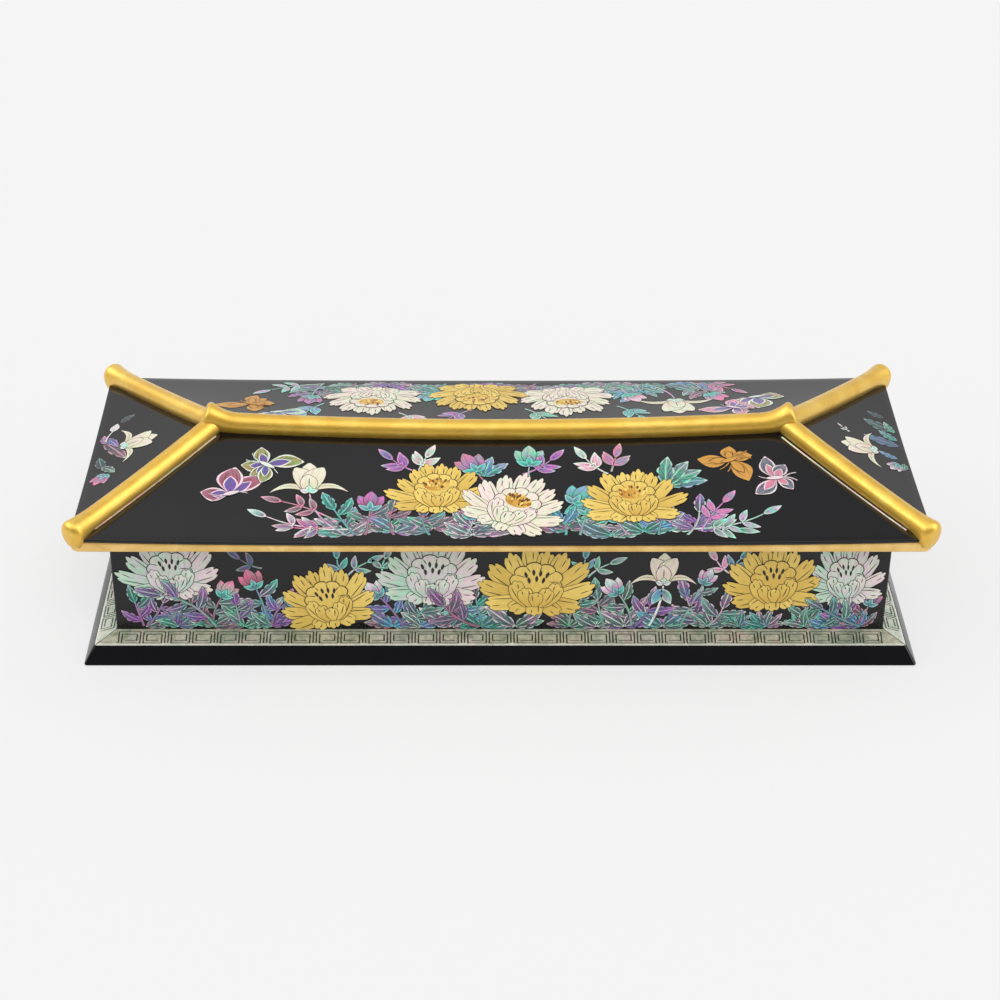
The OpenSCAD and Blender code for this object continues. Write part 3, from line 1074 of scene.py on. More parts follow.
def inlay_line(face, start, end, level, tint, bend, half=THREAD_HALF, finish=SHELL):
    """A thin shell line, such as a stem or a feeler."""
    at = spine(start, end, half, stem_shape, bend)
    lay(face, panel(at), level, finish, start, end, tint, tint, STEM_GAP)


LEAF_TINTS = [
    (MINT, TEAL),
    (PEARL, SLATE),
    (AQUA, SKY),
    (ORCHID, VIOLET),
    (MINT, MOSS),
    (BLUSH, SLATE),
    (AQUA, TEAL),
    (ROSE, SLATE),
    (MINT, SLATE),
    (AQUA, MOSS),
]


def leaf(face, root, tip, half, level, bend, tints):
    """A lobed leaf: pale rim and rib, and a deeper field with cut veins on each side."""
    if not face.inside(tip):
        return
    rim, deep = face.rng.choice(tints)
    rim_tip, deep_tip = face.rng.choice(tints)
    at = spine(root, tip, half, leaf_shape, bend)
    edge_tints = (between(rim, deep, 0.1), between(rim_tip, PEARL, 0.3))
    lay(face, lobed(at), level, SHELL, root, tip, *edge_tints)
    deep_tip = between(deep_tip, rim_tip, 0.35)
    for side in (-1, 1):
        field = half_panel(at, side, 0.06, 0.92, 0.09, 0.8, 5)
        fill(face, field, level + FIELD_LIFT, root, tip, deep, deep_tip)
        for t in (0.12, 0.3, 0.48):
            engrave(face, at(t, 0.14 * side), at(t + 0.28, 0.72 * side), level, 0.0, VEIN_HALF)


def leaflet(face, root, tip, half, tints, level, bend=0.0):
    """A small leaf with one deeper slit."""
    rim, deep = tints
    at = spine(root, tip, half, leaf_shape, bend)
    lay(face, panel(at), level, SHELL, root, tip, rim, between(rim, PEARL, 0.4))
    slit = panel(at, 0.15, 0.85, -0.6, 0.6, 4)
    fill(face, slit, level + SLIT_LIFT, root, tip, deep, rim)


def clump(face, root, reach, angles, level):
    """Leaves that fan out from one root."""
    tints = face.rng.sample(LEAF_TINTS, 2)
    for i, angle in enumerate(angles):
        length = reach * face.rng.uniform(0.8, 1.15)
        tip = root + length * heading(angle + face.rng.uniform(-6, 6))
        bend = face.rng.uniform(-0.1, 0.1) * length
        lift = level + 1.1 * (i % 3) + face.rng.uniform(0, 0.2)
        leaf(face, root, tip, 0.2 * length, lift, bend, tints)


def branch(face, root, tip, size, level, bud=None, tints=None):
    """A stem with leaves on both sides, and a leaf or a flower bud at its end."""
    rng = face.rng
    tints = tints or rng.sample(LEAF_TINTS, 2)
    bend = rng.uniform(-0.12, 0.12) * abs(tip - root)
    at = spine(root, tip, BRANCH_HALF, stem_shape, bend)
    stem_tint = between(tints[0][0], SLATE, 0.5)
    lay(face, panel(at), level + 2.2, SHELL, root, tip, stem_tint, stem_tint, STEM_GAP)
    for i in range(4):
        t = 0.22 + 0.19 * i
        side = -1 if i % 2 else 1
        length = size * rng.uniform(0.85, 1.15)
        end = at(t, 0) + length * ahead_of(at, t) * heading(side * rng.uniform(38, 66))
        lift = level + 0.55 * i + rng.uniform(0, 0.2)
        leaf(face, at(t, 0), end, 0.21 * length, lift, side * 0.08 * length, tints)
    ahead = ahead_of(at, 0.9)
    if bud:
        blossom(face, tip, 0.95 * size, math.degrees(cmath.phase(ahead)), bud, level + 2.6)
    else:
        leaf(face, tip, tip + size * ahead, 0.22 * size, level + 2.4, 0.0, tints)


def sprig(face, root, tip, size, tints, level, bend, pairs):
    """A thin stem with leaflets in pairs and one at its end."""
    at = spine(root, tip, SPRIG_HALF, stem_shape, bend)
    stem_tint = between(tints[0], PEARL, 0.3)
    lay(face, panel(at), level, SHELL, root, tip, stem_tint, tints[0], STEM_GAP)
    for i in range(pairs):
        t = 0.45 + 0.42 * i / pairs
        for side in (-1, 1):
            end = at(t, 0) + size * ahead_of(at, t) * heading(side * 46)
            leaflet(face, at(t, 0), end, 0.2 * size, tints, level + 1, side * 0.05 * size)
    end = tip + 1.15 * size * ahead_of(at, 0.9)
    leaflet(face, tip, end, 0.22 * size, tints, level + 1)


def blossom(face, root, size, lean, tints, level):
    """A half-open flower seen from the side: three striped petals over a calyx."""
    rim, deep = tints
    for i, (angle, half) in enumerate(((-30, 0.2), (30, 0.2), (0, 0.25))):
        tip = root + size * (1 - 0.004 * abs(angle)) * heading(lean + angle)
        at = spine(root, tip, half * size, petal_bud_shape)
        lift = level + 0.9 * i
        lay(face, panel(at), lift, SHELL, root, tip, deep, rim)
        for side in (-1, 1):
            stripe = half_panel(at, side, 0.2, 0.86, 0.15, 0.7, 3)
            fill(face, stripe, lift + SLIT_LIFT, root, tip, deep, rim)
    for angle in (-58, 58, 0):
        tip = root + 0.5 * size * heading(lean + angle)
        leaflet(face, root, tip, 0.12 * size, (AQUA, TEAL), level + 3)


def magnolia(face, root, size, lean, level):
    """A cream bud: closed petals, with two long sepals spread like wings."""
    for side in (-1, 1):
        tip = root + 0.9 * size * heading(lean - side * 90)
        at = spine(root, tip, 0.085 * size, leaf_shape, side * 0.22 * size)
        lay(face, panel(at, steps=8), level, PETAL, root, tip, IVORY, CREAM)
        engrave(face, at(0.25, 0), at(0.75, 0), level, side * 0.06 * size, 0.07)
    petals = ((0, 1.0, 0.25), (21, 0.9, 0.25), (-21, 0.9, 0.25), (3, 0.6, 0.2))
    for i, (angle, length, half) in enumerate(petals):
        tip = root + length * size * heading(lean + angle)
        at = spine(root, tip, half * size, round_shape, -0.004 * angle * size)
        lay(face, panel(at, steps=8), level + 1 + i, PETAL, root, tip, IVORY, CREAM)
    low = root + 0.2 * size * heading(lean)
    engrave(face, low, root + 0.5 * size * heading(lean), level + 4)
    for angle in (-70, 0, 70):
        tip = root + 0.22 * size * heading(lean + angle)
        leaflet(face, root, tip, 0.08 * size, (PEARL, MINT), level + 5)


def petal_tints(face, finish, tone, across):
    """Root and end tints of a petal, from mint on a flower's left to rose on its right."""
    vary = face.rng.uniform(0, 1)
    if finish == GOLD:
        return between(DEEP_GOLD, LEAF_GOLD, vary), between(LEAF_GOLD, LEMON, 0.7 * vary)
    if tone == "amber":
        return between(IVORY, CREAM, 0.4 + 0.4 * vary), between(CREAM, BLUSH, 0.25 * vary)
    side = min(1.0, max(0.0, 0.5 + 0.5 * across + 0.25 * (vary - 0.5)))
    first = between(MINT, BLUSH, side)
    return between(first, SLATE, 0.25), between(first, CREAM, 0.45)


# Tongues of a peony: where each ends, across and up from the flower's foot, and its half
# width. The first lie at the back.
TONGUES = (
    (-0.17, 0.86, 0.165), (0.15, 0.88, 0.165), (0.46, 0.83, 0.165), (-0.5, 0.78, 0.17),
    (0.77, 0.64, 0.175), (-0.8, 0.57, 0.17), (0.97, 0.34, 0.165), (-0.98, 0.3, 0.16),
    (-0.84, 0.0, 0.17), (0.8, -0.01, 0.175), (-0.42, -0.11, 0.16), (0.38, -0.12, 0.16),
    (-0.02, -0.16, 0.16),
)
# Petals at the front of its cup, given the same way.
BOWL = (
    (-0.36, 0.35, 0.15), (0.36, 0.34, 0.15), (-0.2, 0.25, 0.14), (0.21, 0.26, 0.14),
    (0.01, 0.19, 0.13),
)
# Stamens: across and up from the middle of the cup.
STAMENS = (
    (-0.16, 0.03), (-0.11, -0.05), (-0.05, 0.07), (0.0, -0.02), (0.05, 0.06), (0.1, -0.04),
    (0.15, 0.04),
)
# Amber stamens in a tuft.
TUFT = 44


def petal(face, root, tip, half, lift, finish, tints, bend, notch):
    """A petal with a toothed end and two cut lines."""
    at = spine(root, tip, half, petal_shape, bend)
    lay(face, toothed(at, 3, notch, 0.5), lift, finish, root, tip, *tints, pairs=5)
    side = face.rng.choice((-1, 1))
    engrave(face, at(0.35, 0.4 * side), at(0.84, 0.5 * side), lift, 0.1 * side)
    engrave(face, at(0.68, -0.25 * side), at(0.86, -0.3 * side), lift)


def peony(face, centre, width, height, finish, tone, lean, level):
    """A full flower seen from the side: tongues behind and below a cup with stamens. Its
    proportions are shares of its half width across and of its height up."""
    rng = face.rng
    across = heading(lean) * width / 2
    up = heading(lean + 90) * height
    foot = centre - 0.34 * up
    for k, (aside, rise, half) in enumerate(TONGUES):
        reach = rng.uniform(0.93, 1.06)
        root = foot + 0.1 * aside * across + (0.13 + 0.06 * rise) * up
        tip = foot + reach * ((aside + rng.uniform(-0.03, 0.03)) * across + rise * up)
        wide = half * abs(across) * rng.uniform(0.94, 1.08)
        tints = petal_tints(face, finish, tone, aside)
        bend = -0.1 * aside * abs(tip - root)
        petal(face, root, tip, wide, level + 0.55 * k, finish, tints, bend, 0.09)
    middle = foot + 0.36 * up
    wide = 0.43 * across
    tall = 0.27 * up
    lift = level + 8
    tints = petal_tints(face, finish, tone, 0.0)
    cup = scalloped(middle, wide, tall, 9)
    lay(face, cup, lift, finish, foot, middle + tall, *tints, CUP_GAP, 1)
    for notch in cup[::6]:
        end = notch + (middle - notch) * rng.uniform(0.3, 0.5)
        engrave(face, notch, end, lift + 0.5, 0.1)
    stamens(face, foot + 0.4 * up, across, up, tone, level + 10)
    for k, (aside, rise, half) in enumerate(BOWL):
        root = foot + 0.35 * aside * across - 0.02 * up
        tip = foot + aside * across + rise * up
        tints = petal_tints(face, finish, tone, aside)
        wide = half * abs(across)
        bend = -0.2 * aside * abs(tip - root)
        petal(face, root, tip, wide, level + 12.4 + 0.6 * k, finish, tints, bend, 0.08)


def stamens(face, cup, across, up, tone, level):
    """Seven dark ticks, or a thick tuft of amber ones."""
    if tone == "ink":
        for aside, rise in STAMENS:
            foot = cup + aside * across + (rise - 0.03) * up
            end = foot + 0.25 * aside * across + 0.09 * up
            at = spine(foot, end, 0.027 * abs(across), round_shape)
            fill(face, panel(at, steps=5), level + 0.4, foot, end, INK, INK, LINE)
        return
    heart = []
    corners = 16
    for i in range(corners):
        angle = 2 * math.pi * i / corners
        heart.append(cup + 0.25 * across * math.cos(angle) + 0.11 * up * math.sin(angle))
    fill(face, heart, level, heart[corners // 2], heart[0], AMBER, LEAF_GOLD, GOLD)
    for k in range(TUFT):
        aside = face.rng.uniform(-1, 1)
        rise = face.rng.uniform(-0.9, 0.9) * math.sqrt(1 - aside * aside)
        foot = cup + 0.23 * aside * across + 0.1 * rise * up
        end = foot + 0.05 * aside * across + 0.06 * up
        tint = face.rng.choice((LEAF_GOLD, LEMON, AMBER, DEEP_GOLD, BROWN, BROWN))
        at = spine(foot, end, 0.024 * abs(across), round_shape)
        fill(face, panel(at, steps=4), level + 0.3 + 0.03 * k, foot, end, tint, tint, GOLD)


def butterfly(face, centre, head, wings, rim, field, accent, finish=PETAL):
    """A butterfly with rimmed wings and feelers, which faces where its head points."""
    level = 2
    body_level = level + 13
    reach = 5.0
    body_half = 0.7
    leg_half = 0.17
    feeler_half = 0.18
    edge = BROWN if finish == GOLD else rim
    nose = centre + 0.45 * reach * heading(head)
    tail = centre - 0.55 * reach * heading(head)
    for angle in (-150, -122, 165):
        leg = centre + reach * heading(head + angle)
        inlay_line(face, centre, leg, level - 1, rim, 0.5, leg_half, finish)
    for i, (angle, length, half) in enumerate(wings):
        tip = centre + length * heading(angle)
        at = spine(centre, tip, half, wing_shape, 0.08 * length)
        lift = level + 2.4 * i
        lay(face, panel(at, steps=8), lift, finish, centre, tip, rim, rim)
        field_shape = panel(at, 0.05, 0.94, -0.8, 0.8, 7)
        fill(face, field_shape, lift + 0.8, centre, tip, field, between(field, rim, 0.15), finish)
        for share, tint, rise in ((0.56, edge, 1.3), (0.44, accent, 1.8)):
            eye = spine(centre, at(0.5 + 0.3 * share, 0.0), share * half, wing_shape)
            fill(face, panel(eye, 0.1, 1.0), lift + rise, centre, tip, tint, tint, finish)
        for side in (-1, 1):
            start = at(0.3, 0.7 * side)
            engrave(face, start, at(0.78, 0.4 * side), lift + 0.5, 0.3 * side, VEIN_HALF)
    at = spine(tail, nose, body_half, round_shape)
    lay(face, panel(at), body_level, finish, tail, nose, rim, rim)
    for angle in (-26, 22):
        feeler = nose + 0.8 * reach * heading(head + angle)
        inlay_line(face, nose, feeler, body_level, rim, 0.4, feeler_half, finish)


def strips(loop, pairs):
    """Splits an outline across, into parts that follow a curved board. Its points pair up
    from both ends. Those left over make one part."""
    count = len(loop)
    pairs = pairs or count // 2
    parts = []
    for i in range(pairs - 1):
        parts.append((loop[i], loop[i + 1], loop[count - 2 - i], loop[count - 1 - i]))
    rest = loop[pairs - 1:count - pairs + 1]
    if len(rest) > 2:
        parts.append(rest)
    return parts


def lay_inlay(name, face, place, body):
    """Builds the cut pieces of a face: plates let into the lacquer, and fields on them."""
    plates = bmesh.new()
    tint = plates.verts.layers.float_color.new("tint")
    grain = plates.loops.layers.uv.new("grain")
    for cut in face.cuts:
        span = cut.tip - cut.root
        ahead = span / abs(span)
        height = GROUND + LEVEL * cut.level
        lifts = (height, SUNK) if cut.solid else (height,)
        loops = []
        spots = {}
        for lift in lifts:
            loop = []
            for point in cut.outline:
                spot = (point - cut.root) / ahead
                share = max(0.0, min(1.0, spot.real / abs(span)))
                vertex = plates.verts.new(place(point, lift * MM))
                vertex[tint] = between(cut.near, cut.far, share)
                spots[vertex] = (spot.real, spot.imag)
                loop.append(vertex)
            loops.append(loop)
        top = loops[0]
        faces = [plates.faces.new(part) for part in strips(top, cut.pairs)]
        if cut.solid:
            foot = loops[1]
            faces.append(plates.faces.new(foot[::-1]))
            for i, corner in enumerate(top):
                faces.append(plates.faces.new((top[i - 1], foot[i - 1], foot[i], corner)))
        for side in faces:
            side.material_index = cut.finish
            for loop in side.loops:
                loop[grain].uv = spots[loop.vert]
    obj = piece_from(name, plates)
    for finish in FINISHES:
        obj.data.materials.append(finish)
    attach(obj, body)


def wall_place(outward, distance):
    """Place on a wall: along it, and up from its foot."""
    along = Vector((-outward.y, outward.x, 0))

    def place(point, lift):
        spot = along * point.real * MM + outward * (distance + lift)
        return spot + Vector((0, 0, WALL_FOOT + point.imag * MM))

    return place


def slope_place(point_of, half_at, run, turn):
    """Place on a roof board: along it, and up the slope from its eave."""
    pitch = math.atan2(RIDGE_RISE - RIDGE_DIP, run)
    slope = math.hypot(run, RIDGE_RISE)

    def place(point, lift):
        s = 1 - point.imag * MM / slope
        spot = point_of(s, point.real * MM / half_at(s))
        if point_of is front_point:
            spot += lift * Vector((0, -math.sin(pitch), math.cos(pitch)))
        else:
            spot += lift * Vector((math.sin(pitch), 0, math.cos(pitch)))
        return Vector((turn * spot.x, turn * spot.y, spot.z))

    return place


def front_half(s):
    return RIDGE_HALF + HIP_RUN * s


def end_half(s):
    return ROOF_Y * s


def wall_face(seed, half):
    """A bare wall, whose inlay keeps off its edges."""
    top = (WALL_TOP - WALL_FOOT) / MM
    margin = 0.8
    room = half / MM - 1.5

    def inside(point):
        return abs(point.real) < room and margin < point.imag < top - margin

    return Face([], random.Random(seed), inside)


def slope_face(seed, half_at, run):
    """A bare roof board, whose inlay keeps off its beads and its eave."""
    slope = math.hypot(run, RIDGE_RISE) / MM
    margin = 6.5
    eave_margin = 2.4

    def inside(point):
        s = 1 - point.imag / slope
        room = half_at(s) / MM - margin
        return eave_margin < point.imag < slope - margin and abs(point.real) < room

    return Face([], random.Random(seed), inside)


# Inlay designs

# Angles of the leaves in a clump
LOW_FAN = (12, 38, 142, 168)
FULL_FAN = (14, 48, 82, 110, 136, 166)

# Wings of butterflies: the angle, length and half width of each
SIDE_WINGS = ((36, 11.6, 3.0), (86, 11.0, 3.9), (178, 8.4, 2.9))
OPEN_WINGS = (
    (104, 7.4, 2.5), (8, 11.0, 2.8), (184, 7.2, 2.4), (228, 6.6, 1.8), (262, 7.8, 2.2),
)
GOLD_WINGS = ((176, 9.4, 2.6), (-62, 10.0, 2.9), (88, 5.6, 2.3), (14, 6.6, 2.0))
PALE_WINGS = ((105, 9.4, 2.4), (60, 6.2, 2.3), (226, 9.2, 2.6), (-48, 6.6, 2.0))

# Levels of branches behind and in front of the flowers, of sprigs, and of cream buds
BRANCH_LEVEL = 0.8
FRONT_LEVEL = 27
SPRIG_LEVEL = 3
BUD_LEVEL = 4

# Setbacks of the pale lines of painted highlight from the left and right hips
HIP_HIGHLIGHT_SETBACKS = (2.6, 3.3)

# Feet of branches over the foot of a wall and over the eave of a roof board
WALL_STEMS = 1
ROOF_STEMS = 3.5


def wall_roots(*places):
    """Roots of clumps along the foot of a wall."""
    return [x + 0.8j for x in places]


def roof_roots(*places):
    """Roots of clumps along the eave of a roof board, at three heights by turns."""
    return [complex(x, 3.4 + 1.4 * (i % 3)) for i, x in enumerate(places)]


def bed(face, roots, shortest, longest, *fans):
    """Clumps of leaves, whose fans take turns."""
    for i, root in enumerate(roots):
        reach = face.rng.uniform(shortest, longest)
        clump(face, root, reach, fans[i % len(fans)], 0.4 * (i % 2))


def branches(face, foot, rows):
    """Branches from one height: where each starts, its tip, its leaves' size and its bud."""
    for x, tip, size, bud in rows:
        branch(face, complex(x, foot), tip, size, BRANCH_LEVEL, bud)


def leaves(face, rows):
    """Single leaves: the root, tip, half width, level and tints of each."""
    for root, tip, half, level, tints in rows:
        leaf(face, root, tip, half, level, 0.3, [tints])


def peonies(face, tone, rows):
    """Peonies: the middle, width, height, finish, lean and level of each."""
    for centre, width, height, finish, lean, level in rows:
        peony(face, centre, width, height, finish, tone, lean, level)


def long_wall(seed):
    """Six peonies and a bud over a bed of leaves, for a long wall."""
    face = wall_face(seed, WALL_X)
    roots = wall_roots(-102.5, -83, -74, -66, -31, -23, -14, -5.6, 4.3, 20, 28, 36, 47, 60)
    bed(face, roots, 8, 10.5, LOW_FAN)
    bed(face, wall_roots(-93, 69, 77, 88, 96, 104), 6, 7.5, FULL_FAN)
    branches(face, WALL_STEMS, (
        (-103, -105 + 9j, 6.5, None),
        (-102, -97 + 9j, 6.5, None),
        (-84, -91 + 10j, 8, None),
        (-83, -80 + 11j, 7, (ROSE, MINT)),
        (-75, -76 + 8j, 7, None),
        (-67, -70 + 14j, 7.5, (ROSE, CRIMSON)),
        (-66, -61.5 + 9j, 6.5, (ORCHID, ROSE)),
        (-28, -34.5 + 11j, 7, (PEARL, ORCHID)),
        (-25, -22 + 7j, 7, None),
        (-14, -10 + 8j, 7.5, None),
        (-5, -7 + 10.5j, 7, None),
        (20, 23 + 10j, 7.5, None),
        (30, 28 + 10j, 8, None),
        (38, 34 + 12j, 7, (PEARL, ORCHID)),
        (39, 43 + 8j, 7, None),
        (59, 53.5 + 11j, 8, None),
        (60, 64 + 7j, 7.5, None),
        (52, 58 + 15.5j, 6, (BLUSH, ORCHID)),
        (90, 88 + 7j, 6.5, None),
        (103, 106 + 8j, 6, (ROSE, VIOLET)),
        (103, 98 + 7j, 7, None),
    ))
    for root, tip, tints in (
        (-44 + 18j, -38 + 23j, (MINT, VIOLET)),
        (-44.5 + 18j, -46.5 + 24j, (AQUA, TEAL)),
        (-68 + 21j, -74 + 24j, (SLATE, VIOLET)),
        (25 + 18j, 31 + 22.5j, (MINT, TEAL)),
        (25 + 18j, 24 + 24j, (AQUA, TEAL)),
        (66 + 19j, 61.5 + 23.5j, (BLUSH, ROSE)),
        (66 + 19j, 68 + 24j, (AQUA, TEAL)),
        (-33.5 + 18.5j, -33 + 24j, (MINT, SLATE)),
    ):
        sprig(face, root, tip, 4.8, tints, SPRIG_LEVEL, 0.5, 1)
    inlay_line(face, 43 + 1j, 46.6 + 15j, 3.2, PEARL, -0.8, 0.4)
    root = 46.2 + 14j
    for angle, tints in ((118, (MINT, TEAL)), (64, (AQUA, SKY))):
        leaflet(face, root, root - 6 * heading(angle), 1.5, tints, BUD_LEVEL)
    magnolia(face, 46.6 + 15.6j, 10.5, 90, BUD_LEVEL)
    peonies(face, "ink", (
        (-94.2 + 20.6j, 30, 21, PETAL, 2, 8),
        (-19.4 + 19.2j, 33, 22, PETAL, -3, 8),
        (98.6 + 18.6j, 24, 21, PETAL, 6, 8),
        (-49.6 + 10.6j, 30, 21, GOLD, 12, 9),
        (10.3 + 16.3j, 35, 23, GOLD, -3, 9),
        (78 + 17.4j, 30, 22, GOLD, 3, 9),
    ))
    branch(face, -82 + 1j, -97 + 12j, 8, FRONT_LEVEL)
    branch(face, -6 + 1j, -16 + 8j, 8, FRONT_LEVEL, None, [(ROSE, SLATE), (ORCHID, SLATE)])
    branch(face, 104 + 1j, 93 + 7j, 6.5, FRONT_LEVEL)
    return face


def end_wall(seed, first, second):
    """A gold and a pearl peony over leaves, for an end wall."""
    face = wall_face(seed, WALL_Y)
    roots = wall_roots(-30, -21, -12, -3, 6, 15, 24, 31)
    bed(face, roots, 7.5, 10, FULL_FAN[::2], FULL_FAN[1::2])
    branches(face, WALL_STEMS, (
        (-30, -30 + 13j, 7, (ROSE, VIOLET)),
        (-22, -25 + 8j, 7, None),
        (-3, 12j, 7, None),
        (3, 1.5 + 16j, 7, (BLUSH, ORCHID)),
        (24, 21 + 7j, 7, None),
        (29, 30 + 13j, 7, (ROSE, MINT)),
    ))
    sprig(face, 17j, -2 + 24j, 4.8, (AQUA, TEAL), SPRIG_LEVEL, 0.5, 1)
    sprig(face, 30 + 18.5j, 31 + 24j, 4.4, (ORCHID, VIOLET), SPRIG_LEVEL, 0.4, 1)
    sprig(face, -30 + 19j, -31.5 + 24j, 4.4, (MINT, TEAL), SPRIG_LEVEL, 0.4, 1)
    peonies(face, "ink", (
        (-15 + 17j, 26, 21, first, 5, 8),
        (16 + 15.5j, 26, 21, second, -6, 9),
    ))
    return face


def painted_hip_highlights(face):
    """Pale shell lines along the left and right hips of a long roof board: a painted highlight."""
    corner = ROOF_X / MM
    hip = complex(-HIP_RUN, math.hypot(ROOF_Y, RIDGE_RISE)) / MM
    for side, setback in zip((-1, 1), HIP_HIGHLIGHT_SETBACKS):
        inward = setback * 1j * hip / abs(hip)
        ends = [corner + share * hip + inward for share in (0.13, 0.95)]
        low, high = (complex(side * end.real, end.imag) for end in ends)
        at = spine(low, high, HIP_HIGHLIGHT_HALF, lambda t: 1.0)
        # A pale strip, painted in where the lacquer beside the hip shows a highlight line.
        lay(face, panel(at, steps=10), 0, SHELL, low, high, BLUSH, CREAM, 0.0)


def front_roof(seed):
    """Three peonies, a bud and four butterflies, for the front board."""
    face = slope_face(seed, front_half, ROOF_Y)
    painted_hip_highlights(face)
    butterfly(face, -77 + 20.5j, 200, SIDE_WINGS, BLUSH, CRIMSON, VIOLET)
    butterfly(face, -67.5 + 33j, 150, OPEN_WINGS, PEARL, OLIVE, VIOLET)
    butterfly(face, 66.5 + 35j, 20, GOLD_WINGS, COPPER, COPPER, COPPER, GOLD)
    butterfly(face, 79 + 27j, 4, PALE_WINGS, BLUSH, SLATE, ROSE)
    bed(face, roof_roots(-44, -30, -19, -8, 2, 19, 31, 40, 54), 9, 11.5, LOW_FAN)
    branches(face, ROOF_STEMS, (
        (-41, -47 + 14j, 8.5, None),
        (-38, -37 + 14j, 8.5, (ORCHID, CRIMSON)),
        (-30, -31 + 13j, 8.5, None),
        (-20, -22 + 11j, 8.5, None),
        (-10, -8 + 10j, 8.5, (ROSE, ORCHID)),
        (18, 17 + 10j, 8, None),
        (22, 24 + 12j, 8, (AQUA, TEAL)),
        (36, 33 + 9j, 7.5, (BLUSH, ROSE)),
        (44, 46 + 12j, 8, None),
        (52, 56 + 13j, 8, None),
    ))
    inlay_line(face, -44 + 4j, -54.4 + 21j, SPRIG_LEVEL, STEM, 2.2, BRANCH_HALF)
    magnolia(face, -54.6 + 21.6j, 12.4, 92, BUD_LEVEL)
    for root, tip, tints, bend in (
        (-42 + 6j, -66 + 11j, (BLUSH, SLATE), 2.0),
        (-46 + 9j, -62 + 17.5j, (ROSE, DUSK), -1.0),
        (-46 + 7j, -58 + 6.4j, (ROSE, VIOLET), 0.6),
        (-24 + 31j, -31 + 36j, (ORCHID, VIOLET), 0.5),
        (-23.5 + 31j, -21.5 + 37j, (PEARL, ROSE), 0.2),
        (6.5 + 30j, 14.5 + 36j, (ORCHID, VIOLET), -0.6),
        (31 + 30j, 25 + 36.5j, (PEARL, ROSE), 0.5),
        (32 + 31j, 33.5 + 37j, (ROSE, ORCHID), 0.0),
        (54 + 6j, 74 + 12j, (MINT, ORCHID), -1.6),
        (54 + 6j, 66 + 5.6j, (MINT, MOSS), 0.5),
        (56 + 5j, 63 + 17j, (ORCHID, ROSE), 0.5),
    ):
        sprig(face, root, tip, 5.6, tints, SPRIG_LEVEL, bend, 2)
    for root, lean, tints in (
        (-6.5 + 31j, 118, (ROSE, SKY)),
        (8.5 + 33.5j, 90, (MINT, TEAL)),
        (20.5 + 17j, 60, (AQUA, TEAL)),
    ):
        inlay_line(face, root - 5 * heading(lean), root, SPRIG_LEVEL, tints[0], 0.3)
        blossom(face, root, 9, lean, tints, 3.4)
    for root, length, half, angles, tints in (
        (47.5 + 25j, 12, 2.6, (8, 30, 55, 85), [(MINT, TEAL), (AQUA, TEAL)]),
        (-4.5 + 29j, 9, 2.0, (40, 75, 110), [(AQUA, TEAL), (MINT, SKY)]),
    ):
        for i, angle in enumerate(angles):
            leaf(face, root, root + length * heading(angle), half, 2 + 0.6 * i, 0.4, tints)
    peonies(face, "amber", (
        (-18.2 + 23.6j, 29, 22, GOLD, 2, 8),
        (37.6 + 20j, 31, 23, GOLD, 2, 8),
        (4.4 + 16.6j, 32, 25, PETAL, -26, 9.5),
    ))
    return face


def back_roof(seed):
    """Peonies, a bud and butterflies, for the back board, as seen from behind."""
    face = slope_face(seed, front_half, ROOF_Y)
    painted_hip_highlights(face)
    butterfly(face, 75 + 23.5j, 150, OPEN_WINGS, COPPER, COPPER, COPPER, GOLD)
    butterfly(face, 66 + 31j, 200, SIDE_WINGS, PEARL, MINT, SKY)
    butterfly(face, -71 + 27j, 150, OPEN_WINGS, BLUSH, ROSE, VIOLET)
    butterfly(face, -79 + 17j, 200, SIDE_WINGS, PEARL, OLIVE, VIOLET)
    bed(face, roof_roots(-62, -52, -43, -34, -25, -13, 5, 14, 24, 34, 44, 54), 9, 11.5, LOW_FAN)
    branches(face, ROOF_STEMS, (
        (-61, -65 + 13j, 8.2, (ROSE, ORCHID)),
        (-45, -42 + 14j, 8.2, None),
        (-38, -40 + 13j, 8.2, (BLUSH, ROSE)),
        (-27, -30 + 10j, 8.2, None),
        (-12, -9 + 10j, 8.2, None),
        (16, 20 + 12j, 8.2, (AQUA, TEAL)),
        (27, 25 + 10j, 8.2, None),
        (44, 49 + 10j, 8.2, None),
        (54, 57 + 15j, 8.2, (ORCHID, CRIMSON)),
    ))
    inlay_line(face, -46 + 4j, -54 + 17.5j, SPRIG_LEVEL, STEM, 1.6, BRANCH_HALF)
    magnolia(face, -54 + 18.5j, 13, 92, BUD_LEVEL)
    for root, tip, tints, bend in (
        (-60 + 3j, -72 + 9j, (ROSE, VIOLET), 1.0),
        (-36 + 24j, -42 + 33j, (AQUA, TEAL), 0.6),
        (-8 + 26j, -14 + 35j, (MINT, TEAL), 0.6),
        (8 + 27j, 15 + 35j, (ORCHID, VIOLET), -0.6),
        (30 + 30j, 25 + 37j, (PEARL, ROSE), 0.4),
        (53 + 22j, 58 + 31j, (AQUA, SKY), -0.5),
        (54 + 4j, 70 + 10j, (MINT, ORCHID), -1.2),
    ):
        sprig(face, root, tip, 5.6, tints, SPRIG_LEVEL, bend, 2)
    peonies(face, "amber", (
        (-21 + 19j, 31, 24, PETAL, 8, 8),
        (38.5 + 19j, 31, 24, PETAL, -8, 8),
        (6.5 + 16j, 31, 24, GOLD, 0, 9.5),
    ))
    return face


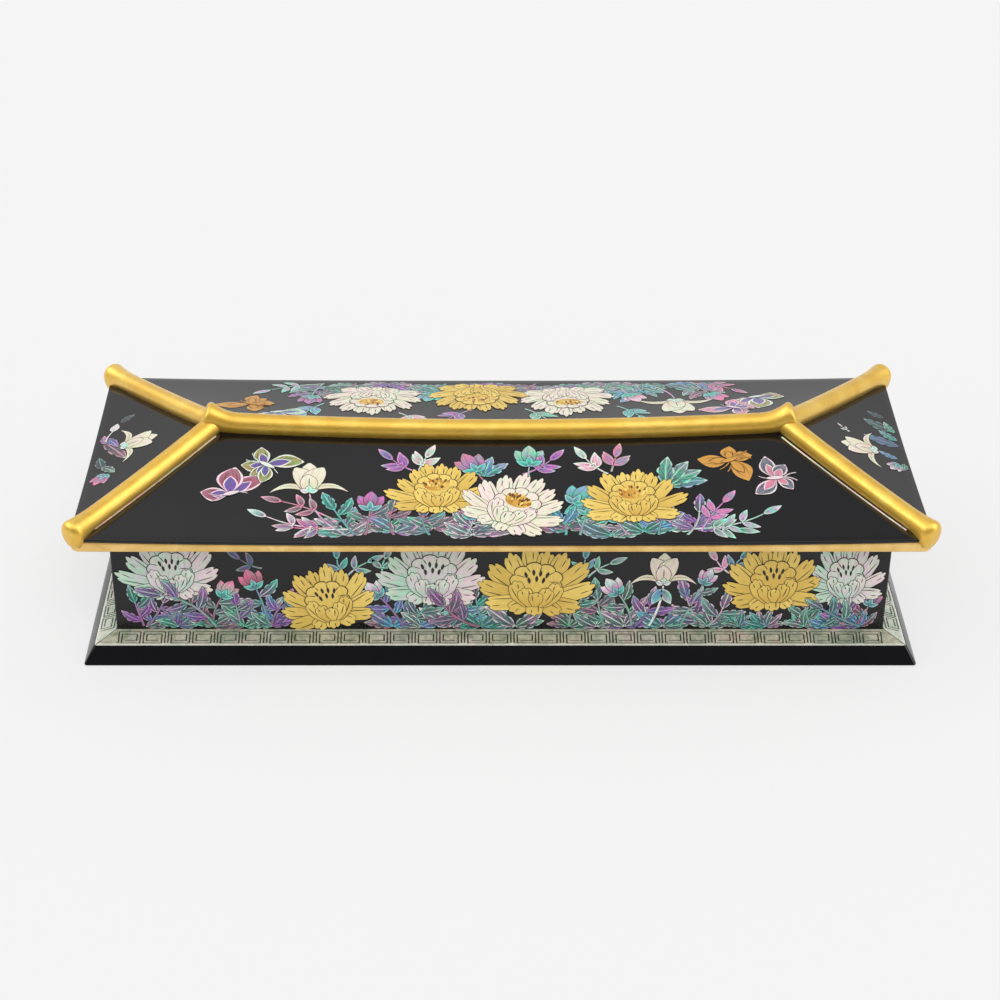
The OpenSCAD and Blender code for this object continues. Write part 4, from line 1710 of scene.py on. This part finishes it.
def left_roof(seed):
    """A cream bud on a dark leaf, and small buds, for an end board."""
    face = slope_face(seed, end_half, HIP_RUN)
    leaves(face, (
        (-7 + 3j, 5.5 + 11.5j, 2.2, 0, (ROSE, DUSK)),
        (-9 + 3.4j, -2.6 + 8j, 1.4, 1.2, (ORCHID, SKY)),
        (-6 + 3.6j, -11 + 2.6j, 1.2, 2.4, (ROSE, ORCHID)),
        (9 + 5j, 2 + 2.8j, 1.7, 0.4, (TEAL, DUSK)),
        (8 + 4.4j, 12.5 + 9j, 1.5, 1.4, (MINT, MOSS)),
        (-17 + 7j, -20 + 11j, 1.4, 0, (SLATE, DUSK)),
    ))
    inlay_line(face, -7.4 + 3.5j, -12.6 + 5.2j, SPRIG_LEVEL, PEARL, 0.4, SPRIG_HALF)
    leaflet(face, -12.4 + 5j, -16.6 + 6j, 1.5, (PEARL, MINT), 3.4)
    blossom(face, 12.6 + 6.2j, 6, -28, (ROSE, ORCHID), 2)
    magnolia(face, -2.2 + 9.3j, 11, 99, BUD_LEVEL)
    return face


def right_roof(seed):
    """A cream bud between blue leaves, for an end board."""
    face = slope_face(seed, end_half, HIP_RUN)
    leaves(face, (
        (14 + 2.4j, 17.6 + 11j, 2.4, 0, (TEAL, DUSK)),
        (13 + 2j, 18.5 + 4.4j, 1.4, 1.2, (MINT, TEAL)),
        (5.4 + 1.8j, 8 + 12.5j, 2.2, 0.2, (SKY, SLATE)),
        (8.6 + 1.8j, 12.6 + 7j, 1.7, 1.4, (AQUA, TEAL)),
        (-2.6 + 3.6j, -0.2 + 9j, 1.3, 0.6, (AQUA, SKY)),
        (-5 + 1.8j, -9 + 3j, 1.1, 0.8, (MINT, MOSS)),
        (21 + 4j, 23 + 9j, 1.3, 0, (SLATE, DUSK)),
    ))
    blossom(face, -6 + 3.6j, 5, 140, (BLUSH, SLATE), 2)
    sprig(face, 7.4 + 17j, 9.2 + 19j, 2, (PEARL, SLATE), 1, 0.1, 1)
    magnolia(face, -0.4 + 9.8j, 11, 90, BUD_LEVEL)
    return face


def make_inlay():
    front = Vector((0, -1, 0))
    right = Vector((1, 0, 0))
    long_slope = (front_point, front_half, ROOF_Y)
    end_slope = (end_point, end_half, HIP_RUN)
    for name, face, place, body in (
        ("inlay_wall_front", long_wall(11), wall_place(front, WALL_Y), "case"),
        ("inlay_wall_back", long_wall(23), wall_place(-front, WALL_Y), "case"),
        ("inlay_wall_left", end_wall(31, GOLD, PETAL), wall_place(-right, WALL_X), "case"),
        ("inlay_wall_right", end_wall(47, PETAL, GOLD), wall_place(right, WALL_X), "case"),
        ("inlay_roof_front", front_roof(5), slope_place(*long_slope, 1), "lid"),
        ("inlay_roof_back", back_roof(7), slope_place(*long_slope, -1), "lid"),
        ("inlay_roof_right", right_roof(13), slope_place(*end_slope, 1), "lid"),
        ("inlay_roof_left", left_roof(17), slope_place(*end_slope, -1), "lid"),
    ):
        lay_inlay(name, face, place, body)


# Studio

FILL_LIGHT = 0.72
# Tone of the floor, its screen value to the camera, and the share of that even value.
FLOOR_TONE = 0.74
SEEN_FLOOR = 245
SEEN_SHARE = 0.72
# Light that the lacquer mirrors: of the wall behind, at its left, its right and its foot, of
# the dark room in front, and of the soft box over it.
BACK_LEFT = 0.95
BACK_RIGHT = 0.48
BACK_FOOT = 0.74
ROOM = 0.16
TOP_BOX = 1.8
# Where these change over: across the wall, up it, up to the soft box, and from front to back.
BACK_ACROSS = (-0.16, 0.12)
BACK_RISE = (0.5, 0.72)
BOX_RISE = (0.62, 0.92)
BACK_DEPTH = (-0.15, 0.25)
# Soft boxes at the sides, as the beads mirror them: start and full extent along X, strength,
# and the slant, start and full extent of the lower edge, which falls towards the front.
SIDE_BOXES = (
    (0.42, 0.68, 3.1, -1.5, 0.3, 0.46),
    (-0.5, -0.72, 3.0, 0.0, 0.4, 0.55),
)
# Where they end towards the front, along Y.
BOX_FRONT = (-0.5, -0.38)


def make_floor():
    """Pale floor. To the camera it is an even tone with a faint shadow."""
    deselect()
    bpy.ops.mesh.primitive_plane_add(size=8)
    obj = bpy.context.object
    obj.name = "studio_floor"
    finish, tree, shader = new_finish("pale_floor")
    shader.inputs["Base Color"].default_value = (FLOOR_TONE, FLOOR_TONE, FLOOR_TONE, 1)
    shader.inputs["Roughness"].default_value = 0.9
    shader.inputs["Specular IOR Level"].default_value = 0.1
    even = tree.nodes.new("ShaderNodeEmission")
    even.inputs["Color"].default_value = screen(SEEN_FLOOR, SEEN_FLOOR, SEEN_FLOOR)
    rays = tree.nodes.new("ShaderNodeLightPath")
    share = spread_value(tree, rays.outputs["Is Camera Ray"], 0.0, SEEN_SHARE, 0.0, 1.0)
    seen = tree.nodes.new("ShaderNodeMixShader")
    tree.links.new(share, seen.inputs["Fac"])
    tree.links.new(shader.outputs["BSDF"], seen.inputs[1])
    tree.links.new(even.outputs["Emission"], seen.inputs[2])
    tree.links.new(seen.outputs["Shader"], tree.nodes["Material Output"].inputs["Surface"])
    obj.data.materials.append(finish)
    obj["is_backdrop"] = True


def make_world():
    """Even fill light. Mirrored, a white wall behind, paler on the left, a dark room in
    front, and soft boxes over the front and at both sides."""
    world = bpy.data.worlds.new("studio")
    bpy.context.scene.world = world
    world.use_nodes = True
    tree = world.node_tree
    place = tree.nodes.new("ShaderNodeTexCoord")
    x, y, z = axes_of(tree, place.outputs["Generated"])
    across = spread_value(tree, x, BACK_LEFT, BACK_RIGHT, *BACK_ACROSS)
    behind = blend_value(tree, spread_value(tree, z, 0.0, 1.0, *BACK_RISE), BACK_FOOT, across)
    before = spread_value(tree, z, ROOM, TOP_BOX, *BOX_RISE)
    depth = spread_value(tree, y, 0.0, 1.0, *BACK_DEPTH)
    mirrored = blend_value(tree, depth, before, behind)
    front = spread_value(tree, y, 0.0, 1.0, *BOX_FRONT)
    for start, end, strength, slant, foot, top in SIDE_BOXES:
        box = spread_value(tree, x, 0.0, strength, start, end)
        edge = combine(tree, "MULTIPLY_ADD", y, slant, z)
        high = spread_value(tree, edge, 0.0, 1.0, foot, top)
        box = combine(tree, "MULTIPLY", box, front)
        mirrored = combine(tree, "MULTIPLY_ADD", box, high, mirrored)
    rays = tree.nodes.new("ShaderNodeLightPath")
    light = blend_value(tree, rays.outputs["Is Glossy Ray"], FILL_LIGHT, mirrored)
    tree.links.new(light, tree.nodes["Background"].inputs["Color"])


def make_lamp(name, elevation, azimuth, strength, angle):
    """A broad far light that isn't mirrored: azimuth 0 is in front, positive to the right."""
    data = bpy.data.lights.new(name, "SUN")
    data.energy = strength
    data.angle = math.radians(angle)
    obj = put_in_scene(name, data)
    obj.rotation_euler = (math.radians(90 - elevation), 0, math.radians(azimuth))
    obj.visible_glossy = False


def make_camera():
    distance = 687.8 * MM
    elevation = math.radians(31.8)
    aim_z = 27.8 * MM
    aside = -10.3 * MM
    data = bpy.data.cameras.new("camera")
    data.sensor_width = 36
    data.lens = 82.87
    data.shift_x = 0.0356
    obj = put_in_scene("camera", data)
    back = -distance * math.cos(elevation)
    obj.location = (aside, back, aim_z + distance * math.sin(elevation))
    obj.rotation_euler = (math.pi / 2 - elevation, 0, 0)
    bpy.context.scene.camera = obj


make_plinth()
make_walls()
make_liner()
make_pad()
make_felt()
make_boards()
make_ridge()
make_hips()
make_fascia()
finish_solids()
make_inlay()
make_floor()
make_world()
make_lamp("key_light", elevation=50, azimuth=22, strength=1.1, angle=30)
make_lamp("top_light", elevation=78, azimuth=150, strength=0.35, angle=40)
make_lamp("side_light", elevation=35, azimuth=-80, strength=0.7, angle=60)
make_camera()
bpy.context.scene.view_settings.view_transform = "Standard"

boxes = {"cad": cad_box, "scene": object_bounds()}
{name: [list(corner) for corner in box] for name, box in boxes.items()}
